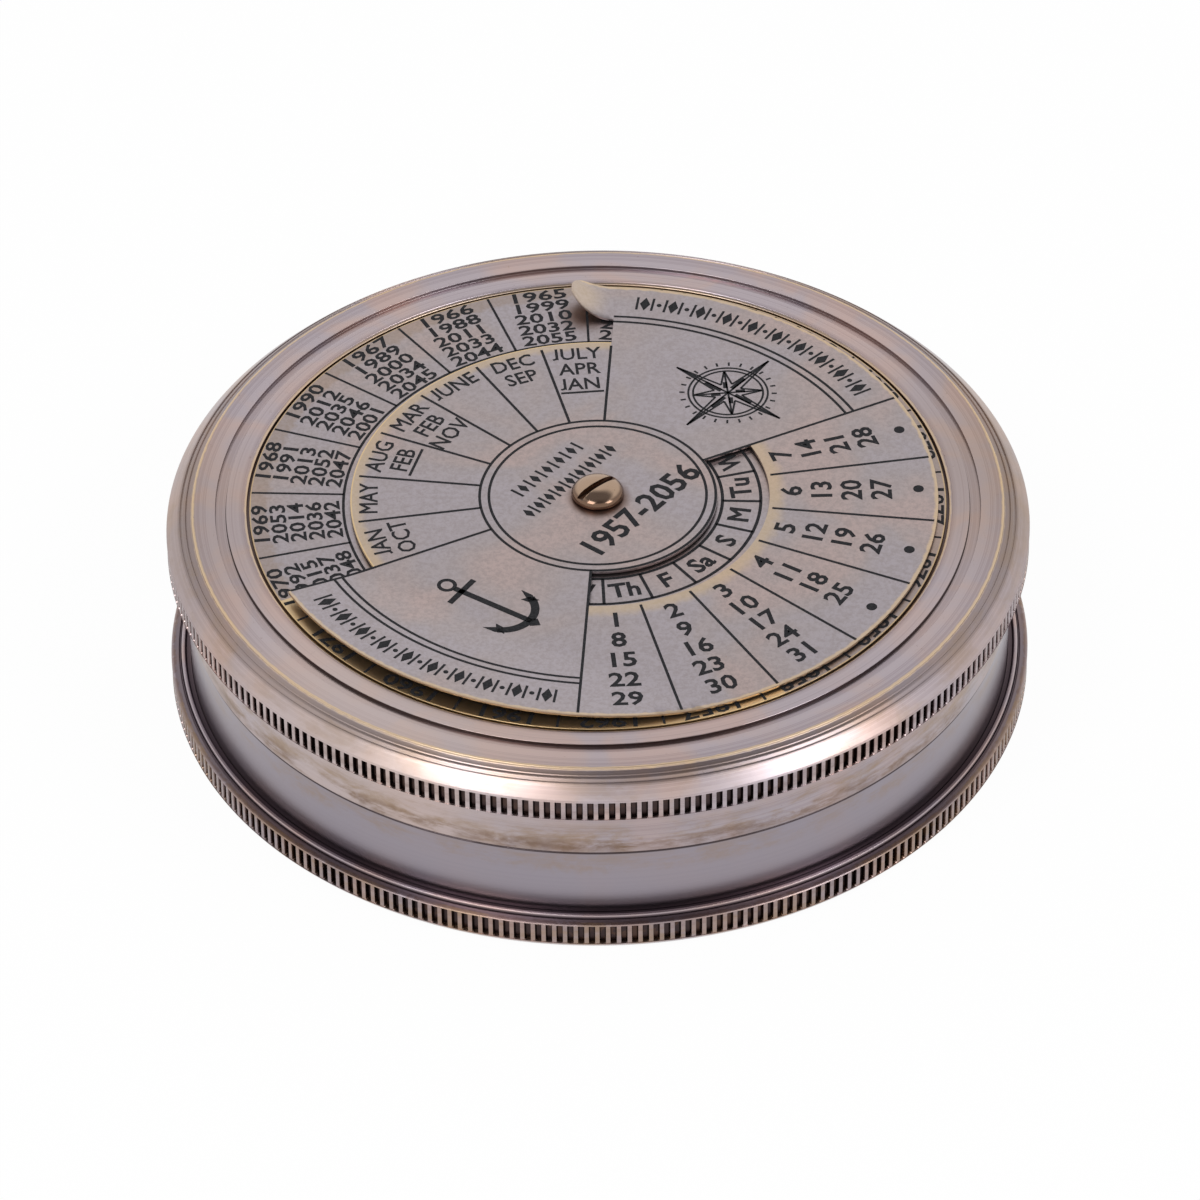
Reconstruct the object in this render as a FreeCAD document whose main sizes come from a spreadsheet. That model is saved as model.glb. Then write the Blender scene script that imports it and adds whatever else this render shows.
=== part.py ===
import FreeCAD, Part
import math
import os
import Sketcher

# Perpetual desk calendar: a round antiqued brass case with a screw lid.
# The lid carries a fixed year disc and a turning calendar disc on one pivot screw.
# Under the lid the case holds a small compass: dial, pivot, needle, glass and its rings.
# Millimetres and degrees. +Z is up, the origin is the centre of the underside.

NODE_FOLDER = "parts"

# Corners of the screw's dome, as shares of the head's radius and of the dome's height
DOME_CORNERS = [(0.8, 0.6), (0.45, 0.92)]

DIMENSIONS = [
    # Case: the wall is the first size, and the flange, spigot and lid follow it
    ("wall_radius", 38.4, "outside of the case wall"),
    ("wall_thickness", 2.4, "case wall"),
    ("solder_gap", 0.05, "room for solder round the foot of the wall"),
    ("seam_height", 10.0, "shoulder that the lid comes down on"),
    ("spigot_step", 1.4, "case wall to the threaded spigot"),
    ("spigot_height", 3.4, "spigot above the shoulder"),
    ("floor_thickness", 1.8, "plate under the dial"),
    # Flange of the base plate
    ("flange_width", 1.9, "flange beyond the wall"),
    ("flange_height", 3.0, "top of the flange above the table"),
    ("flange_chamfer", 0.5, "bevel under the flange"),
    ("flange_knurl_low", 0.7, "lower end of the flange knurl"),
    ("flange_knurl_tall", 2.1, "height of the flange knurl"),
    ("bead_offset", 0.75, "wall to the middle of the turned bead"),
    ("bead_half_width", 0.3, "half the width of the bead"),
    ("bead_height", 0.3, "height of the bead"),
    # Compass in the case
    ("stack_gap", 0.1, "radial room round the dial, rings and glass"),
    ("dial_thickness", 0.6, "compass dial"),
    ("ring_width", 1.3, "width of the spacer and snap rings"),
    ("glass_thickness", 2.0, "compass glass"),
    ("snap_height", 1.0, "snap ring over the glass"),
    ("snap_drop", 1.4, "edge of the spigot down to the snap ring"),
    ("ring_slit", 1.2, "slit in the sprung rings"),
    ("foot_radius", 2.2, "foot of the pivot pin"),
    ("foot_height", 0.9, "height of the foot"),
    ("foot_bevel", 0.45, "slope of the foot"),
    ("pin_radius", 0.45, "pivot pin"),
    ("pin_press", 0.02, "pin in its foot"),
    ("pin_height", 4.0, "pin above the dial"),
    ("pin_cone", 1.0, "height of the pin's point"),
    ("jewel_radius", 0.9, "jewel cup"),
    ("jewel_height", 1.3, "jewel cup"),
    ("jewel_gap", 0.05, "jewel in its cap"),
    ("cup_depth", 0.7, "hollow in the jewel"),
    ("cup_rim", 0.3, "jewel left round the hollow's mouth"),
    ("pivot_play", 0.03, "pin point to jewel"),
    ("hub_wall", 0.55, "neck of the cap round the jewel"),
    ("hub_brim", 0.9, "cap beyond its neck"),
    ("hub_roof", 0.5, "brass over the jewel"),
    ("neck_gap", 0.05, "neck of the cap in the blade"),
    ("needle_length", 56.0, "compass needle"),
    ("needle_width", 7.0, "widest place of the needle"),
    ("needle_thickness", 0.4, "needle blade"),
    # Lid
    ("seam_gap", 0.1, "lid skirt to case shoulder"),
    ("lid_height", 9.3, "skirt's lower edge to the top ring"),
    ("skirt_proud", 0.1, "skirt beyond the case wall"),
    ("thread_gap", 0.3, "spigot to skirt bore, where the thread runs"),
    ("lid_knurl_width", 1.5, "lid knurl beyond the skirt"),
    ("lid_knurl_low", 5.3, "skirt's lower edge to the knurl"),
    ("lid_knurl_tall", 2.0, "height of the lid knurl"),
    ("rim_inset", 2.4, "lid's outside to the edge of the flat top ring"),
    ("rim_drop", 0.25, "small step below that edge"),
    ("shoulder_bulge", 0.3, "how far the shoulder stands proud"),
    ("outer_land", 2.2, "flat ring outside the groove"),
    ("groove_width", 1.0, "top groove"),
    ("groove_depth", 0.35, "top groove"),
    ("inner_land", 1.9, "flat ring inside the groove"),
    ("recess_depth", 0.6, "recess for the year disc"),
    ("plate_thickness", 1.1, "lid plate under the recess"),
    # Knurls
    ("knurl_count", 180, "ribs round each knurl, kept few to hold the facets down"),
    ("knurl_depth", 0.42, "depth of the knurl"),
    ("knurl_lip", 0.06, "rib top to the plain edge"),
    ("knurl_seat", 0.62, "depth of the band that the knurl is set in"),
    ("knurl_bite", 0.2, "knurled band behind its seat"),
    # Discs and the pivot
    ("year_disc_gap", 0.25, "recess wall to the year disc"),
    ("year_disc_thickness", 0.5, "fixed year disc"),
    ("calendar_inset", 0.75, "year disc's edge to the calendar disc's"),
    ("calendar_thickness", 0.3, "turning calendar disc"),
    ("year_strip", 8.6, "where the years show past the calendar disc"),
    ("window_inner", 11.1, "inner edge of the weekday window"),
    ("window_width", 4.8, "weekday window"),
    ("first_edge_angle", 86.3, "edge of the month sector beside the tab"),
    ("picture_angle", 60.0, "each picture sector"),
    ("tab_width", 5.0, "finger tab"),
    ("tab_bend_radius", 6.3, "upward curl of the tab"),
    ("tab_bend_angle", 40.0, "upward curl of the tab"),
    ("tab_end_radius", 4.4, "rounded end of the tab"),
    ("tab_end_inset", 0.6, "centre of that rounding from the disc's edge"),
    ("crease_share", 0.68, "bend across the second picture sector, as a share of the disc's radius"),
    ("crease_direction", 238.0, "middle of that bend"),
    ("crease_angle", 5.0, "how far the sheet outside the bend is tilted up"),
    ("screw_radius", 1.5, "pivot screw shank"),
    ("screw_gap", 0.06, "running fit of the discs on the screw"),
    ("head_overhang", 0.95, "domed head beyond the shank"),
    ("head_edge", 0.45, "straight edge of the head"),
    ("head_dome", 0.8, "dome of the head"),
    ("nut_travel", 2.8, "screw below the nut"),
    ("slot_width", 0.65, "screwdriver slot"),
    ("slot_depth", 0.65, "screwdriver slot"),
    ("slot_angle", 42.0, "direction of the slot"),
    ("disc_washer_width", 4.0, "washer between the discs, round the screw"),
    ("disc_washer_thickness", 0.15, "washer between the discs"),
    ("disc_play", 0.05, "running play over and under the calendar disc"),
    ("nut_washer_width", 2.5, "flat washer under the lid plate"),
    ("nut_washer_thickness", 0.5, "flat washer under the lid plate"),
    ("nut_wall", 1.25, "screw to the nut's flats"),
    ("nut_height", 1.6, "pivot nut"),
]


class Size:
    """A length that knows both its number and the sheet formula it comes from."""

    def __init__(self, number, formula):
        self.number = number
        self.formula = formula

    def join(self, other, sign, number):
        text = other.formula if isinstance(other, Size) else repr(other)
        return Size(number, "(" + self.formula + " " + sign + " " + text + ")")

    def __add__(self, other):
        return self.join(other, "+", self.number + number_of(other))

    def __sub__(self, other):
        return self.join(other, "-", self.number - number_of(other))

    def __mul__(self, other):
        return self.join(other, "*", self.number * number_of(other))

    def __truediv__(self, other):
        return self.join(other, "/", self.number / number_of(other))


def number_of(value):
    return value.number if isinstance(value, Size) else float(value)


def make_sheet(document):
    """Write every driving dimension into the sheet, with its alias and a note."""
    sheet = document.addObject("Spreadsheet::Sheet", "Sizes")
    for row, (alias, value, note) in enumerate(DIMENSIONS, start=1):
        sheet.set("A%d" % row, note)
        sheet.set("B%d" % row, str(value))
        sheet.setAlias("B%d" % row, alias)
    document.recompute()
    return sheet


doc = FreeCAD.newDocument("desk_calendar")
sizes = make_sheet(doc)
size = {alias: Size(float(getattr(sizes, alias)), "Sizes." + alias) for alias, value, note in DIMENSIONS}
origin = Size(0.0, "0")

# Levels above the table, each worked out from the pieces below it
floor_top = size["floor_thickness"]
dial_top = floor_top + size["dial_thickness"]
spigot_top = size["seam_height"] + size["spigot_height"]
glass_top = spigot_top - size["snap_drop"] - size["snap_height"]
spacer_top = glass_top - size["glass_thickness"]
pin_tip = dial_top + size["pin_height"]
jewel_low = pin_tip + size["pivot_play"] - size["cup_depth"]
jewel_top = jewel_low + size["jewel_height"]
blade_top = jewel_low + size["needle_thickness"]
skirt_foot = size["seam_height"] + size["seam_gap"]
lid_top = skirt_foot + size["lid_height"]
recess_floor = lid_top - size["recess_depth"]
plate_underside = recess_floor - size["plate_thickness"]
year_top = recess_floor + size["year_disc_thickness"]
calendar_low = year_top + size["disc_washer_thickness"] + size["disc_play"]
calendar_top = calendar_low + size["calendar_thickness"]
head_low = calendar_top + size["disc_play"]
nut_washer_top = plate_underside - size["disc_play"]
nut_washer_low = nut_washer_top - size["nut_washer_thickness"]
nut_low = nut_washer_low - size["disc_play"] - size["nut_height"]

# Radii, each worked out from the case wall
bore_radius = size["wall_radius"] - size["wall_thickness"]
stack_radius = bore_radius - size["stack_gap"]
spigot_radius = size["wall_radius"] - size["spigot_step"]
flange_radius = size["wall_radius"] + size["flange_width"]
skirt_bore = spigot_radius + size["thread_gap"]
skirt_radius = size["wall_radius"] + size["skirt_proud"]
lid_radius = skirt_radius + size["lid_knurl_width"]
rim_radius = lid_radius - size["rim_inset"]
groove_outer = rim_radius - size["outer_land"]
groove_inner = groove_outer - size["groove_width"]
recess_radius = groove_inner - size["inner_land"]
year_disc_radius = recess_radius - size["year_disc_gap"]
calendar_radius = year_disc_radius - size["calendar_inset"]
screw_hole = size["screw_radius"] + size["screw_gap"]
hub_bore = size["jewel_radius"] + size["jewel_gap"]
hub_neck = hub_bore + size["hub_wall"]

# The discs are laid out in 21 columns, seven to the month sector and seven to the dates
full_turn = Size(360.0, "360")
column_sector = full_turn / 2 - size["picture_angle"]


def origin_plane(body, role):
    for feature in body.Origin.OriginFeatures:
        if feature.Role == role:
            return feature
    raise ValueError("no origin feature " + role)


def attached_sketch(body, name, role):
    sketch = body.newObject("Sketcher::SketchObject", name)
    sketch.AttachmentSupport = [(origin_plane(body, role), "")]
    sketch.MapMode = "FlatFace"
    return sketch


def bind_point(sketch, edge, place):
    """Hold the first point of a line at a place given by two sizes."""
    for number, kind in enumerate(("DistanceX", "DistanceY")):
        value = place[number]
        if value.number == 0.0:
            axis = -2 if number == 0 else -1
            sketch.addConstraint(Sketcher.Constraint("PointOnObject", edge, 1, axis))
        else:
            index = sketch.addConstraint(Sketcher.Constraint(kind, -1, 1, edge, 1, value.number))
            sketch.setExpression("Constraints[%d]" % index, value.formula)


def closed_outline(sketch, places):
    """Draw a closed outline of straight lines whose corners follow the sheet."""
    corners = [FreeCAD.Vector(x.number, y.number, 0) for x, y in places]
    first = sketch.GeometryCount
    for number, corner in enumerate(corners):
        following = corners[(number + 1) % len(corners)]
        sketch.addGeometry(Part.LineSegment(corner, following), False)
    for number in range(len(corners)):
        following = first + (number + 1) % len(corners)
        sketch.addConstraint(Sketcher.Constraint("Coincident", first + number, 2, following, 1))
    for number, place in enumerate(places):
        bind_point(sketch, first + number, place)


def turned_body(label, places):
    """A piece turned about Z from an outline of (radius, height) corners."""
    body = doc.addObject("PartDesign::Body", label)
    body.Label = label
    sketch = attached_sketch(body, label + "_profile", "XZ_Plane")
    closed_outline(sketch, places)
    turn = body.newObject("PartDesign::Revolution", label + "_turn")
    turn.Profile = sketch
    turn.ReferenceAxis = (sketch, ["V_Axis"])
    turn.Angle = 360.0
    return body


def knurl_ring(label, outer, low, tall):
    """A ring with straight ribs all round, drawn as one polygon and raised."""
    count = int(round(size["knurl_count"].number))
    crest = outer.number - size["knurl_lip"].number
    root = outer.number - size["knurl_depth"].number
    half_pitch = math.pi / count
    points = []
    for corner in range(2 * count):
        angle = corner * half_pitch
        radius = root if corner % 2 else crest
        points.append(FreeCAD.Vector(radius * math.cos(angle), radius * math.sin(angle), low.number))
    outline = Part.makePolygon(points + points[:1])
    inner = outer.number - size["knurl_seat"].number - size["knurl_bite"].number
    hole = Part.Wire(Part.makeCircle(inner, FreeCAD.Vector(0, 0, low.number)))
    face = Part.makeFace([outline, hole], "Part::FaceMakerBullseye")
    ring = face.extrude(FreeCAD.Vector(0, 0, tall.number))
    feature = doc.addObject("Part::Feature", label)
    feature.Shape = ring
    return feature


def fused(label, base, tool):
    joined = doc.addObject("Part::Fuse", label)
    joined.Base = base
    joined.Tool = tool
    joined.Label = label
    return joined


def cut(label, base, tool):
    result = doc.addObject("Part::Cut", label)
    result.Base = base
    result.Tool = tool
    result.Label = label
    return result


def sector(label, radius, low, tall, start, sweep):
    """A wedge of a disc, from a start angle through a sweep, both in degrees."""
    wedge = doc.addObject("Part::Cylinder", label)
    wedge.Placement.Rotation = FreeCAD.Rotation(FreeCAD.Vector(0, 0, 1), start.number)
    wedge.setExpression("Radius", radius.formula)
    wedge.setExpression("Height", tall.formula)
    wedge.setExpression("Angle", sweep.formula)
    wedge.setExpression("Placement.Base.z", low.formula)
    wedge.setExpression("Placement.Rotation.Angle", start.formula + " * 1 deg")
    return wedge


def base_plate():
    """Turned plate: knurled flange with a bead on top, and a recess that the wall stands in."""
    top = size["flange_height"]
    seat = flange_radius - size["knurl_seat"]
    low = size["flange_knurl_low"]
    high = low + size["flange_knurl_tall"]
    bead = size["wall_radius"] + size["bead_offset"]
    rim = size["wall_radius"] + size["solder_gap"]
    turned = turned_body("base_turned", [
        (origin, origin),
        (flange_radius - size["flange_chamfer"], origin),
        (flange_radius, low),
        (seat, low),
        (seat, high),
        (flange_radius, high),
        (flange_radius - (top - high), top),
        (bead + size["bead_half_width"], top),
        (bead, top + size["bead_height"]),
        (bead - size["bead_half_width"], top),
        (rim, top),
        (rim, floor_top),
        (origin, floor_top),
    ])
    knurl = knurl_ring("base_knurl", flange_radius, low, size["flange_knurl_tall"])
    return fused("base_plate", turned, knurl)


def case_wall():
    """Tube with a shoulder for the lid and a thinner spigot, which carries the thread."""
    seam = size["seam_height"]
    lead = size["thread_gap"]
    return turned_body("case_wall", [
        (bore_radius, floor_top),
        (size["wall_radius"], floor_top),
        (size["wall_radius"], seam),
        (spigot_radius, seam),
        (spigot_radius, spigot_top - lead),
        (spigot_radius - lead, spigot_top),
        (bore_radius, spigot_top),
    ])


def compass_dial():
    """Thin disc on the floor of the case."""
    return turned_body("compass_dial", [
        (origin, floor_top),
        (stack_radius, floor_top),
        (stack_radius, dial_top),
        (origin, dial_top),
    ])


def split_ring(label, low, tall):
    """A sprung ring with a slit, as it is snapped into the case."""
    inner = stack_radius - size["ring_width"]
    whole = turned_body(label + "_turned", [
        (inner, low),
        (stack_radius, low),
        (stack_radius, low + tall),
        (inner, low + tall),
    ])
    slit = doc.addObject("Part::Box", label + "_slit")
    slit.setExpression("Length", size["ring_slit"].formula)
    slit.setExpression("Width", size["wall_radius"].formula)
    slit.setExpression("Height", tall.formula)
    slit.setExpression("Placement.Base.x", "-" + (size["ring_slit"] / 2).formula)
    slit.setExpression("Placement.Base.z", low.formula)
    return cut(label, whole, slit)


def compass_glass():
    return turned_body("compass_glass", [
        (origin, spacer_top),
        (stack_radius, spacer_top),
        (stack_radius, glass_top),
        (origin, glass_top),
    ])


def pin_foot():
    """Turned bush on the dial that holds the pin upright."""
    bore = size["pin_radius"] + size["pin_press"]
    foot = size["foot_radius"]
    foot_top = dial_top + size["foot_height"]
    return turned_body("pin_foot", [
        (bore, dial_top),
        (foot, dial_top),
        (foot - size["foot_bevel"], foot_top),
        (bore, foot_top),
    ])


def pivot_pin():
    """Steel pin in its foot, with a point for the jewel."""
    pin = size["pin_radius"]
    return turned_body("pivot_pin", [
        (origin, dial_top),
        (pin, dial_top),
        (pin, pin_tip - size["pin_cone"]),
        (origin, pin_tip),
    ])


def hub_jewel():
    """Jewel with a conical cup that rides on the pin's point."""
    jewel = size["jewel_radius"]
    return turned_body("hub_jewel", [
        (jewel - size["cup_rim"], jewel_low),
        (jewel, jewel_low),
        (jewel, jewel_top),
        (origin, jewel_top),
        (origin, jewel_low + size["cup_depth"]),
    ])


def needle_hub():
    """Cap that holds the jewel, with a neck through the blade."""
    brim = hub_neck + size["hub_brim"]
    roof = jewel_top + size["hub_roof"]
    return turned_body("needle_hub", [
        (hub_bore, jewel_low),
        (hub_neck, jewel_low),
        (hub_neck, blade_top),
        (brim, blade_top),
        (hub_neck, roof),
        (origin, roof),
        (origin, jewel_top),
        (hub_bore, jewel_top),
    ])


def compass_needle():
    """Flat lozenge blade with a hole for the cap's neck."""
    body = doc.addObject("PartDesign::Body", "compass_needle")
    body.Label = "compass_needle"
    sketch = attached_sketch(body, "needle_outline", "XY_Plane")
    sketch.AttachmentOffset = FreeCAD.Placement(FreeCAD.Vector(0, 0, jewel_low.number), FreeCAD.Rotation())
    sketch.setExpression("AttachmentOffset.Base.z", jewel_low.formula)
    tip = size["needle_length"] / 2
    side = size["needle_width"] / 2
    corners = [(origin, tip), (side * -1, origin), (origin, tip * -1), (side, origin)]
    vectors = [FreeCAD.Vector(x.number, y.number, 0) for x, y in corners]
    for number in range(4):
        sketch.addGeometry(Part.LineSegment(vectors[number], vectors[(number + 1) % 4]), False)
    for number in range(4):
        sketch.addConstraint(Sketcher.Constraint("Coincident", number, 2, (number + 1) % 4, 1))
    for number, corner in enumerate(corners):
        bind_point(sketch, number, corner)
    hole = sketch.addGeometry(Part.Circle(FreeCAD.Vector(), FreeCAD.Vector(0, 0, 1), 1.0), False)
    sketch.addConstraint(Sketcher.Constraint("Coincident", hole, 3, -1, 1))
    index = sketch.addConstraint(Sketcher.Constraint("Radius", hole, 1.0))
    sketch.setExpression("Constraints[%d]" % index, (hub_neck + size["neck_gap"]).formula)
    pad = body.newObject("PartDesign::Pad", "needle_pad")
    pad.Profile = sketch
    pad.setExpression("Length", size["needle_thickness"].formula)
    return body


def lid_shell():
    """Turned lid: skirt with a bore for the spigot, knurl, shoulder, top ring, groove and recess."""
    seat = lid_radius - size["knurl_seat"]
    low = skirt_foot + size["lid_knurl_low"]
    high = low + size["lid_knurl_tall"]
    rim_low = lid_top - size["rim_drop"]
    groove_floor = lid_top - size["groove_depth"]
    turned = turned_body("lid_turned", [
        (skirt_bore, skirt_foot),
        (skirt_radius, skirt_foot),
        (skirt_radius, low),
        (seat, low),
        (seat, high),
        (lid_radius, high),
        ((lid_radius + rim_radius) / 2, (high + rim_low) / 2 + size["shoulder_bulge"]),
        (rim_radius, rim_low),
        (rim_radius, lid_top),
        (groove_outer, lid_top),
        (groove_outer, groove_floor),
        (groove_inner, groove_floor),
        (groove_inner, lid_top),
        (recess_radius, lid_top),
        (recess_radius, recess_floor),
        (screw_hole, recess_floor),
        (screw_hole, plate_underside),
        (skirt_bore, plate_underside),
    ])
    knurl = knurl_ring("lid_knurl", lid_radius, low, size["lid_knurl_tall"])
    return fused("lid_shell", turned, knurl)


def flat_ring(label, inner, outer, low, tall):
    """A plain disc or washer with a hole."""
    return turned_body(label, [
        (inner, low),
        (outer, low),
        (outer, low + tall),
        (inner, low + tall),
    ])


def tab_solid():
    """Finger tab: the disc's outer strip curled upward past the sector's edge, with a round end."""
    outer = calendar_radius.number
    inner = outer - size["tab_width"].number
    low = calendar_low.number
    thick = size["calendar_thickness"].number
    bend = size["tab_bend_radius"].number
    end = size["tab_end_radius"].number
    overlap = thick
    corners = [(inner, low), (outer, low), (outer, low + thick), (inner, low + thick)]
    points = [FreeCAD.Vector(x, 0, z) for x, z in corners]
    section = Part.Face(Part.makePolygon(points + points[:1]))
    pivot = FreeCAD.Vector(0, 0, low + thick + bend)
    curl = section.revolve(pivot, FreeCAD.Vector(1, 0, 0), size["tab_bend_angle"].number)
    root = section.extrude(FreeCAD.Vector(0, -overlap, 0))
    tall = 2 * (bend + thick)
    centre = outer - size["tab_end_inset"].number
    rounding = Part.makeCylinder(end, tall, FreeCAD.Vector(centre, 0, low))
    edge = Part.makeCylinder(outer, tall, FreeCAD.Vector(0, 0, low))
    shape = curl.fuse(root).removeSplitter().common(rounding).common(edge)
    feature = doc.addObject("Part::Feature", "tab")
    feature.Shape = shape
    feature.Placement.Rotation = FreeCAD.Rotation(FreeCAD.Vector(0, 0, 1), size["first_edge_angle"].number)
    return feature


def bent_up(label, flat):
    """The sheet tilted up outside a straight bend, as it stands clear of the year disc on one side."""
    doc.recompute()
    reach = calendar_radius.number
    crease = reach * size["crease_share"].number
    axis_z = FreeCAD.Vector(0, 0, 1)
    outside = Part.makeBox(reach, 4 * reach, reach, FreeCAD.Vector(crease, -2 * reach, lid_top.number - reach / 2))
    outside.rotate(FreeCAD.Vector(0, 0, 0), axis_z, size["crease_direction"].number)
    turn = FreeCAD.Rotation(axis_z, size["crease_direction"].number)
    middle = turn.multVec(FreeCAD.Vector(crease, 0, calendar_low.number))
    along = turn.multVec(FreeCAD.Vector(0, 1, 0))
    flap = flat.Shape.common(outside)
    flap.rotate(middle, along, -size["crease_angle"].number)
    feature = doc.addObject("Part::Feature", label)
    feature.Shape = flat.Shape.cut(outside).fuse(flap)
    return feature


def calendar_disc():
    """Turning disc: full width for three sectors, cut back where the years show, with a weekday window."""
    low = calendar_low
    thick = size["calendar_thickness"]
    wide_start = size["first_edge_angle"] + column_sector
    window_start = wide_start + size["picture_angle"]
    month_radius = calendar_radius - size["year_strip"]
    window_outer = size["window_inner"] + size["window_width"]
    wide = sector("wide_sectors", calendar_radius, low, thick, wide_start, full_turn - column_sector)
    narrow = sector("month_sector", month_radius, low, thick, size["first_edge_angle"], column_sector)
    outside = sector("window_outside", window_outer, low, thick, window_start, column_sector)
    core = sector("window_core", size["window_inner"], low, thick, origin, full_turn)
    blank = fused("disc_blank", wide, narrow)
    with_tab = fused("disc_with_tab", blank, tab_solid())
    windowed = cut("disc_windowed", with_tab, cut("weekday_window", outside, core))
    hole = sector("disc_hole", screw_hole, low, thick, origin, full_turn)
    return bent_up("calendar_disc", cut("disc_flat", windowed, hole))


def pivot_screw():
    """Domed slotted screw that the calendar disc turns on."""
    shank = size["screw_radius"]
    head = shank + size["head_overhang"]
    edge = head_low + size["head_edge"]
    dome = size["head_dome"]
    tail = nut_low - size["nut_travel"]
    rounding = [(head * across, edge + dome * up) for across, up in DOME_CORNERS]
    turned = turned_body("screw_turned", [
        (origin, tail),
        (shank, tail),
        (shank, head_low),
        (head, head_low),
        (head, edge),
        *rounding,
        (origin, edge + dome),
    ])
    slot = doc.addObject("Part::Box", "screw_slot")
    slot.setExpression("Length", (head * 2).formula)
    slot.setExpression("Width", size["slot_width"].formula)
    slot.setExpression("Height", dome.formula)
    angle = math.radians(size["slot_angle"].number)
    along = head.number
    across = size["slot_width"].number / 2
    corner_x = -along * math.cos(angle) + across * math.sin(angle)
    corner_y = -along * math.sin(angle) - across * math.cos(angle)
    floor = edge + dome - size["slot_depth"]
    slot.Placement = FreeCAD.Placement(
        FreeCAD.Vector(corner_x, corner_y, floor.number),
        FreeCAD.Rotation(FreeCAD.Vector(0, 0, 1), size["slot_angle"].number),
    )
    return cut("pivot_screw", turned, slot)


def pivot_nut():
    """Hexagon nut on the tail of the screw."""
    flats_radius = size["screw_radius"] + size["nut_wall"]
    blank = doc.addObject("Part::Prism", "nut_blank")
    blank.Polygon = 6
    blank.setExpression("Circumradius", flats_radius.formula + " * 2 / sqrt(3)")
    blank.setExpression("Height", size["nut_height"].formula)
    blank.setExpression("Placement.Base.z", nut_low.formula)
    hole = sector("nut_hole", screw_hole, nut_low, size["nut_height"], origin, full_turn)
    return cut("pivot_nut", blank, hole)


def build_pieces():
    disc_washer_radius = screw_hole + size["disc_washer_width"]
    nut_washer_radius = screw_hole + size["nut_washer_width"]
    return [
        base_plate(),
        case_wall(),
        compass_dial(),
        split_ring("spacer_ring", dial_top, spacer_top - dial_top),
        pin_foot(),
        pivot_pin(),
        compass_glass(),
        split_ring("snap_ring", glass_top, size["snap_height"]),
        compass_needle(),
        needle_hub(),
        hub_jewel(),
        lid_shell(),
        flat_ring("year_disc", screw_hole, year_disc_radius, recess_floor, size["year_disc_thickness"]),
        flat_ring("disc_washer", screw_hole, disc_washer_radius, year_top, size["disc_washer_thickness"]),
        calendar_disc(),
        pivot_screw(),
        flat_ring("nut_washer", screw_hole, nut_washer_radius, nut_washer_low, size["nut_washer_thickness"]),
        pivot_nut(),
    ]


def check_document():
    """Stop if any feature of the document failed to compute."""
    for feature in doc.Objects:
        if "Invalid" in feature.State or "Error" in feature.State:
            raise RuntimeError(feature.Name + " failed: " + str(feature.State))


def write_pieces(pieces):
    os.makedirs(NODE_FOLDER, exist_ok=True)
    for piece in pieces:
        shape = piece.Shape
        if shape.isNull() or not shape.isValid():
            raise RuntimeError(piece.Label + " has no valid shape")
        shape.exportStep(os.path.join(NODE_FOLDER, piece.Label + ".step"))
        print("%-16s %3d solid %10.2f mm3" % (piece.Label, len(shape.Solids), shape.Volume))


pieces = build_pieces()
doc.recompute()
check_document()
write_pieces(pieces)
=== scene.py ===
import bmesh
import bpy
import datetime
import math
from bpy.props import FloatProperty, FloatVectorProperty, IntProperty, PointerProperty
from mathutils import Matrix, Vector


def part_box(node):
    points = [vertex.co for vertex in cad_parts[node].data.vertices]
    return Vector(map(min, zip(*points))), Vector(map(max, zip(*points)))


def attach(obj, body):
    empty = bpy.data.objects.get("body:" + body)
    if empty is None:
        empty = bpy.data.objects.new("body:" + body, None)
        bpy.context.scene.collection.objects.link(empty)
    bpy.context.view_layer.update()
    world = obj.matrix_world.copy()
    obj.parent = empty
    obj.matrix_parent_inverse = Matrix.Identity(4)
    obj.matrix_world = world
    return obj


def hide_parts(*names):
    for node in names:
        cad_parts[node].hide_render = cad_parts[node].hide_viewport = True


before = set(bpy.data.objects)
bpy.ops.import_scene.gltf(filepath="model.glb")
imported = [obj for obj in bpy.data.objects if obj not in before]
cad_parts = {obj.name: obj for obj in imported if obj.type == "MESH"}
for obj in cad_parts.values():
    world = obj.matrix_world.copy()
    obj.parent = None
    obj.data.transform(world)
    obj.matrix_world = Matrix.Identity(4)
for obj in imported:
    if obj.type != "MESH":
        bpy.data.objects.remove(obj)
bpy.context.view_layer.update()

bl_info = {
    "name": "Desk calendar",
    "version": (1, 0, 0),
    "blender": (4, 5, 0),
    "location": "3D View > Sidebar > Calendar",
    "description": "Builds an antiqued brass perpetual desk calendar over a small compass case",
    "category": "Add Mesh",
}

# Pieces are modelled in millimetres about the centre of the underside, and scaled to metres when finished
MM = 0.001
# Points closer than this, in millimetres, are taken as one
HAIR = 1e-4


def node_box(node):
    """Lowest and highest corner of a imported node, in millimetres."""
    low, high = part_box(node)
    return low / MM, high / MM


def half_width(node):
    low, high = node_box(node)
    return (high.x - low.x) / 2


def bottom(node):
    return node_box(node)[0].z


def top(node):
    return node_box(node)[1].z


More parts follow.
